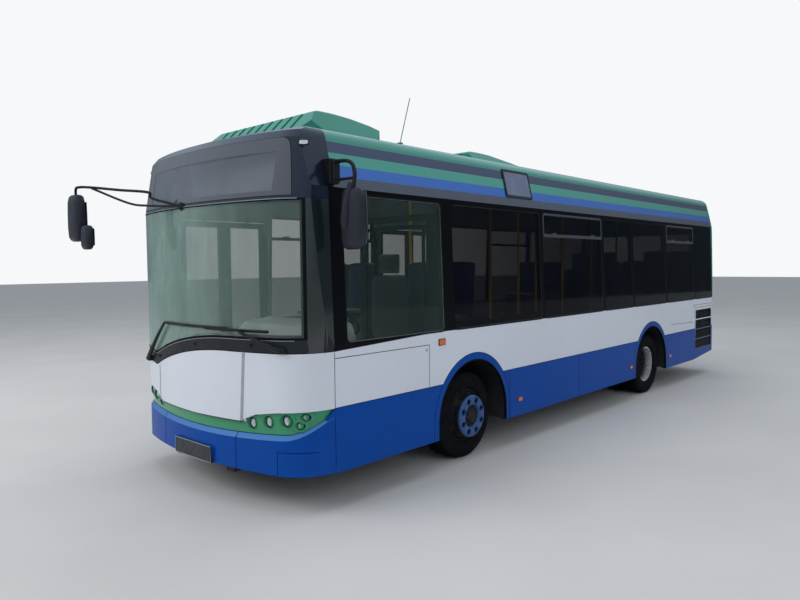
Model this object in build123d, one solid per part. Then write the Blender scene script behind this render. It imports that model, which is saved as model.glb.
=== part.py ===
from build123d import *
import math
import os

os.makedirs("parts", exist_ok=True)

# City midibus, millimetres. +Z up, the front looks along -Y, the driver's side is +X.
# The origin is on the ground, under the middle of the whole bus with its mirrors.

# Driving dimensions of the body
body_width = 2400.0
wheelbase = 4200.0
front_overhang = 2226.0
rear_overhang = 2635.0
mirror_lead = 394.0
skirt_z = 288.0
paint_split_z = 784.0
belt_z = 1250.0
cove_z = 2425.0
roof_z = 2940.0
wall = 55.0
roof_wall = 60.0
glass = 8.0
seam = 5.0
seat_gap = 0.3

# Shape of the body section and of its ends
half_width = body_width / 2
cove_x = half_width - 45
shoulder_x = half_width - 148
shoulder_edge_z = roof_z - 70
shoulder_radius = 110.0
corner_radius = 360.0
bow_angle = 15.0
rear_corner_radius = 90.0
tail_rise = 82.0
tail_rise_length = 940.0

# Front end
glass_top_z = cove_z - 40
cap_bottom_z = cove_z - 95
cap_side_length = 58.0
screen_half = half_width - 65
cowl_height = 110.0
display_half = cove_x - 148
display_bottom_z = cap_bottom_z + 20
display_top_z = roof_z - 165
bumper_bottom_z = skirt_z + 8
panel_split_x = 0.533 * half_width
bumper_split_x = 0.4475 * half_width
front_seam = 8.0
strip_recess = 27.0
lamp_recess = 43.0
ledge_height = 36.0
ledge_depth = 25.0
lamp_radius = 46.0
small_lamp_radius = 27.0
plate_width = 540.0
plate_height = 130.0
plate_z = skirt_z + 72

# Wheels and axles
tyre_radius = 410.0
tyre_width = 262.0
rim_radius = 250.0
front_tyre_x = half_width - 234
rear_tyre_x = half_width - 193
twin_pitch = 300.0
kingpin_x = front_tyre_x - 86
arch_radius = 528.0
arch_z = 421.0
arch_band = 70.0
housing_inner_x = rear_tyre_x - twin_pitch - tyre_width / 2 - 56
housing_wall = 20.0

# Floor and frame
floor_z = 340.0
floor_thick = 40.0
cab_floor_z = 640.0
dash_end = 800.0
step_y = wheelbase - 1100
step_length = 280.0
step_z = 590.0
rear_floor_z = 850.0
engine_floor_z = 1130.0
engine_step_y = wheelbase + 1300
rail_x = housing_inner_x - housing_wall - 100
rail_width = 90.0
rail_depth = 80.0

# Doors on the kerb side: name, start, end measured back from the front axle
door_table = [
    ("front_door", -1690.0, -660.0),
    ("mid_door", 1100.0, 2300.0),
]
door_top_z = cove_z - 120
door_sill_z = floor_z + 5
door_gap = 12.0
leaf_gap = 8.0
leaf_bottom_z = floor_z + 28
leaf_thick = 45.0
leaf_recess = 50.0
leaf_frame = 60.0
post_reach = 30.0
post_radius = 14.0
post_offset = 46.0
arm_thick = 14.0
arm_half = 13.0
eye_radius = 18.0
boss_radius = 20.0
pin_radius = 8.0

# Side windows measured back from the front axle: start, end, bottom of its opening top light or None
light_z = cove_z - 285
left_windows = [
    (-1626.0, -440.0, None),
    (-300.0, 1240.0, None),
    (1280.0, wheelbase - 1510, light_z),
    (wheelbase - 1470, wheelbase - 625, None),
    (wheelbase - 590, wheelbase + 530, None),
    (wheelbase + 565, wheelbase + 1700, light_z),
    (wheelbase + 1735, wheelbase + rear_overhang - 113, None),
]
right_windows = [
    (-590.0, 1020.0, light_z),
    (2380.0, wheelbase - 625, None),
    (wheelbase - 590, wheelbase + 530, light_z),
    (wheelbase + 565, wheelbase + 1700, None),
    (wheelbase + 1735, wheelbase + rear_overhang - 113, None),
]
window_rebate = 12.0

# Places that follow from the driving dimensions
axle_front_y = (front_overhang + mirror_lead - wheelbase - rear_overhang) / 2
axle_rear_y = axle_front_y + wheelbase
front_y = axle_front_y - front_overhang
rear_y = axle_rear_y + rear_overhang
bow_tan = math.tan(math.radians(bow_angle / 2))
bow_x = half_width - corner_radius + corner_radius * math.sin(math.radians(bow_angle))
front_seam_y = (front_y + corner_radius * math.cos(math.radians(bow_angle)) + bow_x * bow_tan)
cap_rear_y = front_seam_y + cap_side_length
rear_seam_y = rear_y - rear_corner_radius
far = 4000.0
hub_z = tyre_radius
eye_low_z = hub_z - 138
eye_top_z = hub_z + 78
eye_half = 18.0


def save(node, shape):
    solids = shape.solids() if hasattr(shape, "solids") else [s for p in shape for s in p.solids()]
    out = Compound(children=list(solids)) if len(solids) > 1 else solids[0]
    export_step(out, f"parts/{node}.step")
    return out


def span(x0, x1, y0, y1, z0, z1):
    """A block between two corners."""
    return Pos((x0 + x1) / 2, (y0 + y1) / 2, (z0 + z1) / 2) * Box(
        abs(x1 - x0), abs(y1 - y0), abs(z1 - z0)
    )


def tube_x(x0, x1, y, z, radius):
    """A round bar along X."""
    return Pos((x0 + x1) / 2, y, z) * Rot(0, 90, 0) * Cylinder(radius, abs(x1 - x0))


def post_z(x, y, z0, z1, radius):
    """A round bar along Z."""
    return Pos(x, y, (z0 + z1) / 2) * Cylinder(radius, abs(z1 - z0))


def along_y(face_xz, y0, y1):
    """Draw in (x, z), then pull from y0 to y1."""
    return Pos(0, y0, 0) * extrude(Plane.XZ * face_xz, amount=y1 - y0, dir=(0, 1, 0))


def along_x(face_yz, x0, x1):
    """Draw in (y, z), then pull from x0 to x1."""
    return Pos(x0, 0, 0) * extrude(Plane.YZ * face_yz, amount=x1 - x0, dir=(1, 0, 0))


def section(inset, top_inset, bottom):
    """Cross section of the body, moved inwards by inset."""
    w = half_width - inset
    cove = cove_x - inset
    edge = shoulder_x - inset
    top = roof_z - top_inset
    edge_z = shoulder_edge_z - top_inset
    right = [(w, bottom), (w, belt_z), (cove, cove_z), (edge, edge_z)]
    left = [(-x, z) for x, z in reversed(right)]
    lines = Polyline(*left, *right)
    crown = ThreePointArc(right[-1], (0, top), left[0])
    face = make_face(Curve() + [lines, crown])
    corners = [v for v in face.vertices() if abs(v.Y - edge_z) < 1]
    return fillet(corners, max(shoulder_radius - inset, 20))


def plan(inset, front_shift, rear_shift, z):
    """Plan outline of the body at one height."""
    w = half_width - inset
    rc = corner_radius - inset
    rr = rear_corner_radius - min(inset, rear_corner_radius - 20)
    sine = math.sin(math.radians(bow_angle))
    cosine = math.cos(math.radians(bow_angle))
    diagonal = math.sqrt(0.5)
    mid = math.radians(90 + bow_angle) / 2
    centre_x = half_width - corner_radius
    ys = front_seam_y + front_shift
    yr = rear_y - inset - rear_shift
    bow_end = (centre_x + rc * sine, ys - rc * cosine)
    corner_mid = (centre_x + rc * math.sin(mid), ys - rc * math.cos(mid))
    nose = (0, front_y + inset + front_shift)
    rear_mid = (w - rr + rr * diagonal, yr - rr + rr * diagonal)
    edges = [
        ThreePointArc((-bow_end[0], bow_end[1]), nose, bow_end),
        ThreePointArc(bow_end, corner_mid, (w, ys)),
        Line((w, ys), (w, yr - rr)),
        ThreePointArc((w, yr - rr), rear_mid, (w - rr, yr)),
        Line((w - rr, yr), (-(w - rr), yr)),
        ThreePointArc((-(w - rr), yr), (-rear_mid[0], rear_mid[1]), (-w, yr - rr)),
        Line((-w, yr - rr), (-w, ys)),
        ThreePointArc((-w, ys), (-corner_mid[0], corner_mid[1]), (-bow_end[0], bow_end[1])),
    ]
    return Pos(0, 0, z) * make_face(Curve() + edges)


# Lean of the two ends: height, set-back of the front, set-back of the rear
lean_table = [
    (cap_bottom_z, 0.0, 0.0),
    (display_top_z, 80.0, 25.0),
    (roof_z - 105, 132.0, 40.0),
    (roof_z - 72, 225.0, 70.0),
    (roof_z - 42, 400.0, 160.0),
    (roof_z + 20, 760.0, 420.0),
]


def envelope(inset, top_inset, bottom):
    """The whole outer form of the body, moved inwards by inset."""
    tall = extrude(plan(inset, 0, 0, bottom), amount=cap_bottom_z - bottom - top_inset, dir=(0, 0, 1))
    faces = [plan(inset, f, r, z - top_inset) for z, f, r in lean_table]
    upper = loft(faces, ruled=True)
    bar = along_y(section(inset, top_inset, bottom), front_y - far, rear_y + far)
    return bar & (tall + upper)


print("envelopes")
outer = envelope(0, 0, skirt_z)
inner = envelope(wall, roof_wall, skirt_z - 50)
shell = outer - inner
skin_inner = envelope(glass, glass, skirt_z - 50)
skin = outer - skin_inner

left_side = span(half_width - 300, half_width + 50, front_seam_y, rear_seam_y, 0, far)
right_side = span(-half_width - 50, -half_width + 300, front_seam_y, rear_seam_y, 0, far)


def arch(radius, y, x0, x1):
    """Wheel arch opening: round above, straight down to the ground."""
    return tube_x(x0, x1, y, arch_z, radius) + span(x0, x1, y - radius, y + radius, 0, arch_z)


def window_cut(start, end, side, margin):
    """Block that cuts a side window; margin makes it smaller all round."""
    x0 = side * (half_width - 300)
    x1 = side * (half_width + 50)
    y0 = axle_front_y + start + margin
    y1 = axle_front_y + end - margin
    block = span(x0, x1, y0, y1, belt_z + 3 + margin, glass_top_z - margin)
    return fillet(block.edges().filter_by(Axis.X), 45 - margin)


def side_wall(side, region, windows, doors):
    body = shell & region & span(-far, far, -far * 2, far * 2, paint_split_z, cove_z)
    panes = []
    for start, end, light in windows:
        body = body - window_cut(start, end, side, window_rebate)
        outline = window_cut(start, end, side, 0)
        pane = skin & outline
        body = body - pane
        pane = skin & window_cut(start, end, side, 1)
        if light:
            mullion = span(side * (half_width - 300), side * (half_width + 50),
                           axle_front_y + start, axle_front_y + end, light - 2, light + 2)
            pane = pane - mullion
        panes.extend(pane.solids())
    for y in (axle_front_y, axle_rear_y):
        body = body - arch(arch_radius + arch_band, y, side * 800, side * (half_width + 50))
    for name, start, end in doors:
        body = body - span(side * 800, side * (half_width + 50), axle_front_y + start,
                           axle_front_y + end, door_sill_z, door_top_z)
    return body, panes


# Side grille of the engine bay, measured back from the front axle
grille_start = wheelbase + rear_overhang - 890
grille_end = wheelbase + rear_overhang - 120
grille_bottom_z = 440.0
grille_top_z = belt_z - 160
grille_frame = 18.0
grille_hole = span(half_width - 120, half_width + 50, axle_front_y + grille_start,
                   axle_front_y + grille_end, grille_bottom_z, grille_top_z)

print("walls")
wall_left, panes_left = side_wall(1, left_side, left_windows, [])
wall_left = wall_left - grille_hole
wall_right, panes_right = side_wall(-1, right_side, right_windows, door_table)
save("wall_left", wall_left)
save("wall_right", wall_right)
save("side_glass", Compound(children=panes_left + panes_right))

print("skirts")
tail_cut = along_x(
    make_face(Polyline(
        (rear_y - tail_rise_length, skirt_z - 60), (rear_y - tail_rise_length, skirt_z),
        (rear_y + 60, skirt_z + tail_rise), (rear_y + 60, skirt_z - 60), close=True)),
    -far, far)
skirt_list = []
ring_list = []
for side, region in ((1, left_side), (-1, right_side)):
    low = shell & region & span(-far, far, -far * 2, far * 2, 0, paint_split_z - seam)
    band = shell & region & span(-far, far, -far * 2, far * 2, 0, cove_z)
    for y in (axle_front_y, axle_rear_y):
        outer_arch = arch(arch_radius + arch_band, y, side * 800, side * (half_width + 50))
        low = low - outer_arch
        smaller = arch(arch_radius + arch_band - seam, y, side * 800, side * (half_width + 50))
        ring = (band & smaller) - arch(arch_radius, y, side * 700, side * (half_width + 60))
        ring_list.extend(ring.solids())
    if side == 1:
        low = low - grille_hole
    else:
        for name, start, end in door_table:
            low = low - span(side * 800, side * (half_width + 50), axle_front_y + start,
                             axle_front_y + end, door_sill_z, far)
    low = low - tail_cut
    skirt_list.extend(low.solids())
save("skirts", Compound(children=skirt_list))
save("arch_panels", Compound(children=ring_list))

print("grille")
bar_count = 4
grille_y0 = axle_front_y + grille_start + seat_gap
grille_y1 = axle_front_y + grille_end - seat_gap
grille_z0 = grille_bottom_z + seat_gap
grille_z1 = grille_top_z - seat_gap
grille_depth = 40.0
side_grille = span(half_width - grille_depth, half_width - 2, grille_y0, grille_y1, grille_z0, grille_z1)
cell = (grille_z1 - grille_z0 - grille_frame * (bar_count + 1)) / bar_count
for i in range(bar_count):
    z0 = grille_z0 + grille_frame + i * (cell + grille_frame)
    side_grille = side_grille - span(
        half_width - grille_depth - 5, half_width + 5, grille_y0 + grille_frame,
        grille_y1 - grille_frame, z0, z0 + cell)
    blades = 5
    for k in range(blades):
        zc = z0 + (k + 0.5) * cell / blades
        blade = Pos(half_width - 22, (grille_y0 + grille_y1) / 2, zc) * Rot(0, 35, 0) * Box(
            30, grille_y1 - grille_y0 - grille_frame, 4)
        side_grille = side_grille + blade
save("side_grille", side_grille)

print("roof")
roof = shell & span(-far, far, cap_rear_y, rear_seam_y, cove_z, far)
save("roof", roof)

print("front")
front_zone = span(-far, far, -far * 2, front_seam_y, 0, far)
cap = shell & (span(-far, far, -far * 2, front_seam_y, cap_bottom_z, cove_z)
               + span(-far, far, -far * 2, cap_rear_y, cove_z, far))
display_box = span(-display_half, display_half, -far * 2, front_seam_y, display_bottom_z, display_top_z)
display_hole = span(-display_half + 15, display_half - 15, -far * 2, front_seam_y,
                    display_bottom_z + 15, display_top_z - 15)
display_glass = skin & display_box
cap = cap - display_hole - display_glass
save("front_cap", cap)
save("display_glass", skin & span(-display_half + 1, display_half - 1, -far * 2, front_seam_y,
                                  display_bottom_z + 1, display_top_z - 1))

# Lower edge of the windscreen, higher on the driver's side, seen from the front:
# x as a share of the half width, z below the belt
dip_table = [(1.083, 45.0), (0.433, 54.0), (-0.125, 114.0), (-0.591, 272.0), (-1.083, 198.0)]
dip_points = [(share * half_width, belt_z - drop) for share, drop in dip_table]
dip = [
    Line(dip_points[0], dip_points[1]),
    ThreePointArc(dip_points[1], dip_points[2], dip_points[3]),
    Line(dip_points[3], dip_points[4]),
]
dip_right = dip_points[0]
dip_left = dip_points[4]
above_dip = along_y(
    make_face(Curve() + dip + [Polyline(dip_left, (dip_left[0], far), (dip_right[0], far), dip_right)]),
    -far * 2, front_seam_y)
below_dip = along_y(
    make_face(Curve() + dip + [Polyline(dip_left, (dip_left[0], 0), (dip_right[0], 0), dip_right)]),
    -far * 2, front_seam_y)
screen_zone = above_dip & span(-screen_half, screen_half, -far * 2, front_seam_y, 0, cap_bottom_z - seam)
screen_hole = (Pos(0, 0, cowl_height + 25) * above_dip) & span(
    -screen_half + 30, screen_half - 30, -far * 2, front_seam_y, 0, cap_bottom_z - 30)
screen_zone = screen_zone & (Pos(0, 0, cowl_height) * above_dip)
save("windscreen", skin & screen_zone)
front_frame = (shell & above_dip & span(-far, far, -far * 2, front_seam_y, 0, cap_bottom_z - 1)) - screen_hole
front_frame = front_frame - (skin & screen_zone)
save("front_frame", front_frame)

# Lamp strip, driver's half, mirrored: x as a share of the half width, z below the paint split
strip_top_table = [(0.0, 119.0), (0.4875, 112.0), (0.6208, 48.0), (0.7917, 17.0), (1.0833, -2.0)]
strip_low_table = [(0.0, 214.0), (0.83, 180.0), (1.0117, -6.0)]
strip_top = [(share * half_width, paint_split_z - drop) for share, drop in strip_top_table]
strip_low = [(share * half_width, paint_split_z - drop) for share, drop in strip_low_table]
strip_low_mid = ThreePointArc((-strip_low[1][0], strip_low[1][1]), strip_low[0], strip_low[1])
strip_low_end = TangentArc(strip_low[1], strip_low[2], tangent=strip_low_mid % 1)
corner_x, corner_z = strip_low[2]


def under_line(points, z_end):
    """Region under a line given for the driver's half, mirrored."""
    full = [(-x, z) for x, z in reversed(points) if x] + points
    return along_y(make_face(Polyline(*full, (points[-1][0], z_end), (-points[-1][0], z_end), close=True)),
                   -far * 2, front_seam_y)


under_strip_top = under_line(strip_top, 0)
low_edge = Curve() + [strip_low_mid, strip_low_end, mirror(strip_low_end, about=Plane.YZ)]
under_strip_low = along_y(
    make_face(low_edge + [Polyline((corner_x, corner_z), (corner_x, 0), (-corner_x, 0), (-corner_x, corner_z))]),
    -far * 2, front_seam_y)

front_lower = shell & front_zone
panel = (front_lower & below_dip) - under_strip_top
for x in (-panel_split_x, panel_split_x):
    panel = panel - span(x - front_seam / 2, x + front_seam / 2, -far * 2, front_seam_y, 0, far)
save("front_panel", panel)

# Lamps of one side: x as a share of the half width, z below the paint split, radius
lamp_table = [
    (0.570, 123.0, lamp_radius),
    (0.699, 99.0, lamp_radius),
    (0.825, 80.0, lamp_radius),
    (0.899, 112.0, small_lamp_radius),
    (0.922, 50.0, small_lamp_radius),
]
strip_shell = (envelope(strip_recess, 0, skirt_z) - inner) & front_zone
lens_shell = (envelope(lamp_recess, 0, skirt_z) - inner) & front_zone
strip = (strip_shell & (Pos(0, 0, -seam) * under_strip_top)) - under_strip_low
lamps = []
for side in (-1, 1):
    for share, drop, r in lamp_table:
        at = Pos(side * share * half_width, front_y + 300, paint_split_z - drop) * Rot(90, 0, 0)
        strip = strip - at * Cylinder(r, 900)
        lens = lens_shell & (at * Cylinder(r - seat_gap, 900))
        lamps.extend(lens.solids())
save("lamp_strip", strip)
save("headlamps", Compound(children=lamps))

bumper = (shell & front_zone & (Pos(0, 0, -seam) * under_strip_low)) - span(
    -far, far, -far * 2, front_seam_y, 0, bumper_bottom_z)
for x in (-bumper_split_x, bumper_split_x):
    bumper = bumper - span(x - front_seam / 2, x + front_seam / 2, -far * 2, front_seam_y, 0, far)


def sloping_shoulder(body):
    """Bevel the top of one bumper piece along its outer edge, up to the lamp strip."""
    tops = [f for f in body.faces() if f.normal_at().Z > 0.3 and f.center().Z > plate_z + plate_height / 2]
    edges = [e for f in tops for e in f.edges() if e.distance_to(inner) > wall / 2]
    return body.chamfer(ledge_height, ledge_depth, edges)


bumper = Part() + [sloping_shoulder(body) for body in bumper.solids()]
# Cover in each bumper corner: a groove along its top and its inner edge
cover_x0 = 0.785 * half_width
cover_x1 = 0.977 * half_width
cover_z = skirt_z + 187
groove_depth = skin & front_zone
for side in (-1, 1):
    groove = span(side * cover_x0, side * cover_x1, -far * 2, front_seam_y, cover_z - 3, cover_z + 3)
    groove = groove + span(side * (cover_x0 - 3), side * (cover_x0 + 3), -far * 2, front_seam_y, 0, cover_z + 3)
    bumper = bumper - (groove & groove_depth)
plate = span(-plate_width / 2, plate_width / 2, front_y - 14, front_y + 30,
             plate_z - plate_height / 2, plate_z + plate_height / 2)
bumper = bumper + (plate - inner)
save("front_bumper", bumper)

print("rear")
rear_window_half = half_width - 320
rear_window_z0 = belt_z + 310
rear_window_z1 = cove_z - 95
hatch_half = half_width - 400
hatch_z0 = 640.0
hatch_z1 = belt_z + 190
rear_bumper_z = hatch_z0 - 20
rear_zone = span(-far, far, rear_seam_y, far * 2, 0, far)
rear_full = shell & rear_zone
rear_wall = rear_full & span(-far, far, 0, far * 2, rear_bumper_z, far)
rear_pane = skin & span(-rear_window_half, rear_window_half, rear_seam_y, far * 2, rear_window_z0, rear_window_z1)
rear_wall = rear_wall - span(-rear_window_half + 15, rear_window_half - 15, rear_seam_y - 200, far * 2,
                             rear_window_z0 + 15, rear_window_z1 - 15)
rear_wall = rear_wall - rear_pane
rear_wall = rear_wall - span(-hatch_half, hatch_half, rear_seam_y - 200, far * 2, hatch_z0, hatch_z1)
rear_lamp_x = half_width - 190
rear_lamp_rows = [760.0, 900.0, 1040.0, 1180.0]
rear_lamps = []
for side in (-1, 1):
    for z in rear_lamp_rows:
        at = Pos(side * rear_lamp_x, rear_y, z) * Rot(90, 0, 0)
        rear_wall = rear_wall - at * Cylinder(52, 60)
        rear_lamps.append(Pos(side * rear_lamp_x, rear_y - 13, z) * Rot(90, 0, 0) * Cylinder(51.7, 33.4))
hinge_x = hatch_half - 280
hinge_long = 60.0
hinge_radius = 10.0
for side in (-1, 1):
    x0 = side * hinge_x - hinge_long / 2
    x1 = side * hinge_x + hinge_long / 2
    rear_wall = rear_wall + tube_x(x0, x1, rear_y + hinge_radius + 1, hatch_z1, hinge_radius)
    rear_wall = rear_wall + span(x0, x1, rear_y - 1, rear_y + 2 * hinge_radius, hatch_z1 + 5, hatch_z1 + 34)
save("rear_wall", rear_wall)
save("rear_window", skin & span(-rear_window_half + 1, rear_window_half - 1, rear_seam_y, far * 2,
                                rear_window_z0 + 1, rear_window_z1 - 1))
rear_bumper = (rear_full & span(-far, far, 0, far * 2, 0, rear_bumper_z - seam)) - tail_cut
# Towing socket: a blind tube behind the bumper, open to the rear
tow_z = 500.0
tow_radius = 22.0
tow_length = 140.0
tow_wall = 14.0
rear_bumper = rear_bumper + Pos(0, rear_y - tow_length / 2 - 20, tow_z) * Rot(90, 0, 0) * Cylinder(
    tow_radius + tow_wall, tow_length)
rear_bumper = rear_bumper - Pos(0, rear_y - tow_length / 2 + 5, tow_z) * Rot(90, 0, 0) * Cylinder(
    tow_radius, tow_length + 10)
save("rear_bumper", rear_bumper)

# Amber side lamps: places measured back from the front axle
side_lamp_z = 456.0
side_lamp_places = [780.0, wheelbase - 696, wheelbase + 686]
for side in (-1, 1):
    for place in side_lamp_places:
        rear_lamps.append(Pos(side * (half_width + 4), axle_front_y + place, side_lamp_z) * Box(8, 88, 46))
    rear_lamps.append(Pos(side * (half_width + 5), axle_front_y - 489, belt_z - 90) * Box(10, 100, 60))
# Clearance lamps on the corners of the cap, square to its rounded corner
cap_lamp_x = half_width - 100
cap_lamp_z = display_top_z - 47
cap_lamp_turn = math.asin((cap_lamp_x - half_width + corner_radius) / corner_radius)
cap_lamp_y = (front_seam_y - corner_radius * math.cos(cap_lamp_turn)
              + lean_table[1][1] * (cap_lamp_z - cap_bottom_z) / (display_top_z - cap_bottom_z))
for side in (-1, 1):
    lamp = Pos(side * cap_lamp_x, cap_lamp_y, cap_lamp_z) * Rot(0, 0, side * math.degrees(cap_lamp_turn)) * Pos(
        0, -6, 0) * Box(70, 36, 40)
    rear_lamps.extend((lamp - outer).solids())
save("marker_lamps", Compound(children=rear_lamps))

hatch_gap = 6.0
hatch_thick = 40.0
hatch = span(-hatch_half + hatch_gap, hatch_half - hatch_gap, rear_y - hatch_thick, rear_y,
             hatch_z0 + hatch_gap, hatch_z1 - hatch_gap)
slot_count = 5
for i in range(slot_count):
    zc = hatch_z0 + 170 + i * 70
    hatch = hatch - (Pos(0, rear_y, zc) * Rot(30, 0, 0) * Box(hatch_half * 1.25, 90, 22))
hinge_y = rear_y + hinge_radius + 1
for side in (-1, 1):
    for step in (-1, 1):
        x0 = side * hinge_x + step * (hinge_long / 2 + seat_gap)
        x1 = x0 + step * hinge_long
        hatch = hatch + tube_x(x0, x1, hinge_y, hatch_z1, hinge_radius)
        hatch = hatch + span(x0, x1, rear_y - 1, hinge_y + hinge_radius, hatch_z1 - 34, hatch_z1 - 5)
save("engine_hatch", hatch)

print("floor")
y_front = front_y + 300
floor_pts = [
    (y_front, floor_z), (axle_front_y + step_y, floor_z), (axle_front_y + step_y, step_z),
    (axle_front_y + step_y + step_length, step_z), (axle_front_y + step_y + step_length, rear_floor_z),
    (axle_front_y + engine_step_y, rear_floor_z), (axle_front_y + engine_step_y, engine_floor_z),
    (rear_y - wall, engine_floor_z),
]
floor_low = [
    (rear_y - wall, engine_floor_z - floor_thick),
    (axle_front_y + engine_step_y + floor_thick, engine_floor_z - floor_thick),
    (axle_front_y + engine_step_y + floor_thick, rear_floor_z - floor_thick),
    (axle_front_y + step_y + step_length + floor_thick, rear_floor_z - floor_thick),
    (axle_front_y + step_y + step_length + floor_thick, step_z - floor_thick),
    (axle_front_y + step_y + floor_thick, step_z - floor_thick),
    (axle_front_y + step_y + floor_thick, floor_z - floor_thick),
    (y_front, floor_z - floor_thick),
]
floor_x = half_width - wall
floor = along_x(make_face(Polyline(*floor_pts, *floor_low, close=True)), -floor_x, floor_x)
cab_y0 = front_y + dash_end + seat_gap
cab_y1 = axle_front_y - arch_radius - housing_wall - 12
cab_x0 = 190.0
floor = (floor + span(cab_x0, floor_x, cab_y0, cab_y1, floor_z - 1, cab_floor_z)) & inner


def housing(side, y, grow):
    """Outer form of a wheel housing, from the wall inwards."""
    r = arch_radius + housing_wall + grow
    x0 = side * (housing_inner_x - housing_wall - grow)
    x1 = side * (half_width - wall)
    body = tube_x(x0, x1, y, arch_z, r) + span(x0, x1, y - r, y + r, floor_z - floor_thick, arch_z)
    return body & span(-far, far, -far * 2, far * 2, floor_z - floor_thick, far)


housings = []
for side in (-1, 1):
    for y in (axle_front_y, axle_rear_y):
        floor = floor - housing(side, y, 0)
        inside = tube_x(side * housing_inner_x, side * far, y, arch_z, arch_radius) + span(
            side * housing_inner_x, side * far, y - arch_radius, y + arch_radius, 0, arch_z)
        tub = housing(side, y, 0) - inside
        tub = tub - span(side * 400, side * (housing_inner_x + 1), y - 110, y + 110, 0, hub_z + 110)
        housings.extend(tub.solids())
save("floor", floor)
save("wheel_housings", Compound(children=housings))

print("frame")
rail_top = floor_z - floor_thick
rear_rail_top = rear_floor_z - floor_thick
rail_in = rail_x - rail_width / 2
rail_out = rail_x + rail_width / 2
upright_length = 260.0
upright_height = 110.0
# Rail pairs: start, end, top
rail_table = [
    (front_y + upright_length + seat_gap, axle_front_y - 240, rail_top),
    (axle_front_y + 240, axle_front_y + step_y, rail_top),
    (axle_rear_y - 640, rear_y - 200, rear_rail_top),
]
frames = []
for y0, y1, rail_z in rail_table:
    for side in (-1, 1):
        frames.append(span(side * rail_in, side * rail_out, y0, y1, rail_z - rail_depth, rail_z))
    count = max(2, int((y1 - y0) / 900) + 1)
    for i in range(count):
        yc = y0 + 40 + (y1 - y0 - 80) * i / (count - 1)
        frames.append(span(-rail_in + seat_gap, rail_in - seat_gap, yc - 30, yc + 30,
                           rail_z - rail_depth + 10, rail_z))
for side in (-1, 1):
    upright = span(side * rail_in, side * rail_out, front_y - 20, front_y + upright_length,
                   rail_top - rail_depth, rail_top + upright_height)
    frames.extend((upright & inner).solids())
save("underframe", Compound(children=frames))

print("axles")
beam_half = 45.0
beam_bottom_z = 200.0
beam_top_z = 290.0
yoke_out = kingpin_x - 62
yoke_in = kingpin_x - 130
air_spring_radius = 95.0
bowl_radius = 190.0
beam = span(-yoke_out, yoke_out, axle_front_y - beam_half, axle_front_y + beam_half, beam_bottom_z, beam_top_z)
for side in (-1, 1):
    beam = beam + span(side * yoke_in, side * yoke_out, axle_front_y - beam_half, axle_front_y + beam_half,
                       beam_bottom_z, eye_top_z + eye_half)
    for z in (eye_low_z, eye_top_z):
        beam = beam + span(side * yoke_in, side * kingpin_x, axle_front_y - beam_half + 5,
                           axle_front_y + beam_half - 5, z - eye_half, z + eye_half)
        beam = beam + post_z(side * kingpin_x, axle_front_y, z - eye_half, z + eye_half, beam_half)
    beam = beam + post_z(side * rail_x, axle_front_y, beam_top_z - 5, rail_top, air_spring_radius)
rear_disc_x = rear_tyre_x - twin_pitch / 2 - 14
rear_axle = tube_x(-rear_disc_x + seat_gap, rear_disc_x - seat_gap, axle_rear_y, hub_z, 80)
bowl = Pos(0, axle_rear_y, hub_z) * Rot(90, 0, 0) * Cylinder(bowl_radius, 240)
rear_axle = rear_axle + fillet(bowl.edges(), 70)
for side in (-1, 1):
    rear_axle = rear_axle + post_z(side * rail_x, axle_rear_y, hub_z + 60, rear_rail_top - rail_depth,
                                   air_spring_radius)
save("axles", Compound(children=beam.solids() + rear_axle.solids()))

engine_half = rail_in - seat_gap
engine = span(-engine_half, engine_half, rear_y - 1050, rear_y - 260, 420, rear_rail_top - rail_depth + 8)
save("engine_block", engine)

print("wheels")


def tyre_profile():
    """Half section of one tyre in (x, radius)."""
    h = tyre_width / 2
    pts = [
        (-h + 34, rim_radius - 4), (-h + 6, rim_radius + 30), (-h, rim_radius + 78),
        (-h + 10, tyre_radius - 26), (-h + 32, tyre_radius - 3), (h - 32, tyre_radius - 3),
        (h - 10, tyre_radius - 26), (h, rim_radius + 78), (h - 6, rim_radius + 30), (h - 34, rim_radius - 4),
    ]
    sidewall_out = ThreePointArc(pts[0], pts[1], pts[2])
    shoulder = ThreePointArc(pts[2], pts[3], pts[4])
    tread = ThreePointArc(pts[4], (0, tyre_radius), pts[5])
    shoulder_in = ThreePointArc(pts[5], pts[6], pts[7])
    sidewall_in = ThreePointArc(pts[7], pts[8], pts[9])
    bead = Line(pts[9], pts[0])
    return make_face(Curve() + [sidewall_out, shoulder, tread, shoulder_in, sidewall_in, bead])


def spin(face, x, y):
    """Revolve an (x, radius) section about the wheel's axle."""
    solid = revolve(Plane.XY * face, axis=Axis.X, revolution_arc=360)
    return Pos(x, y, hub_z) * solid


# Hand holes of every rim
hole_count = 8
hole_ring = 150.0
hole_radius = 27.0


def punch(body, x):
    """Cut the ring of hand holes through a rim's disc."""
    for k in range(hole_count):
        a = math.radians(360 / hole_count * (k + 0.5))
        body = body - Pos(x, hole_ring * math.cos(a), hub_z + hole_ring * math.sin(a)) * Rot(
            0, 90, 0) * Cylinder(hole_radius, 120)
    return body


def front_rim(side):
    h = tyre_width / 2 - 34
    r = rim_radius - 4.3
    points = [
        (-h, r), (h, r), (h + 8, r + 6), (h + 8, r - 6), (h - 8, r - 22), (h + 40, 205), (h + 96, 198),
        (h + 108, 184), (h + 111, 150), (h + 106, 112), (h + 84, 100), (h + 84, 0), (h + 58, 0),
        (h + 58, 112), (h + 88, 124), (h + 88, 172), (h + 20, 188), (h - 20, r - 34), (-h, r - 16),
    ]
    body = punch(spin(make_face(Polyline(*points, close=True)), 0, 0), h + 90)
    if side < 0:
        body = mirror(body, about=Plane.YZ)
    return Pos(side * front_tyre_x, axle_front_y, 0) * body


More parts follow.
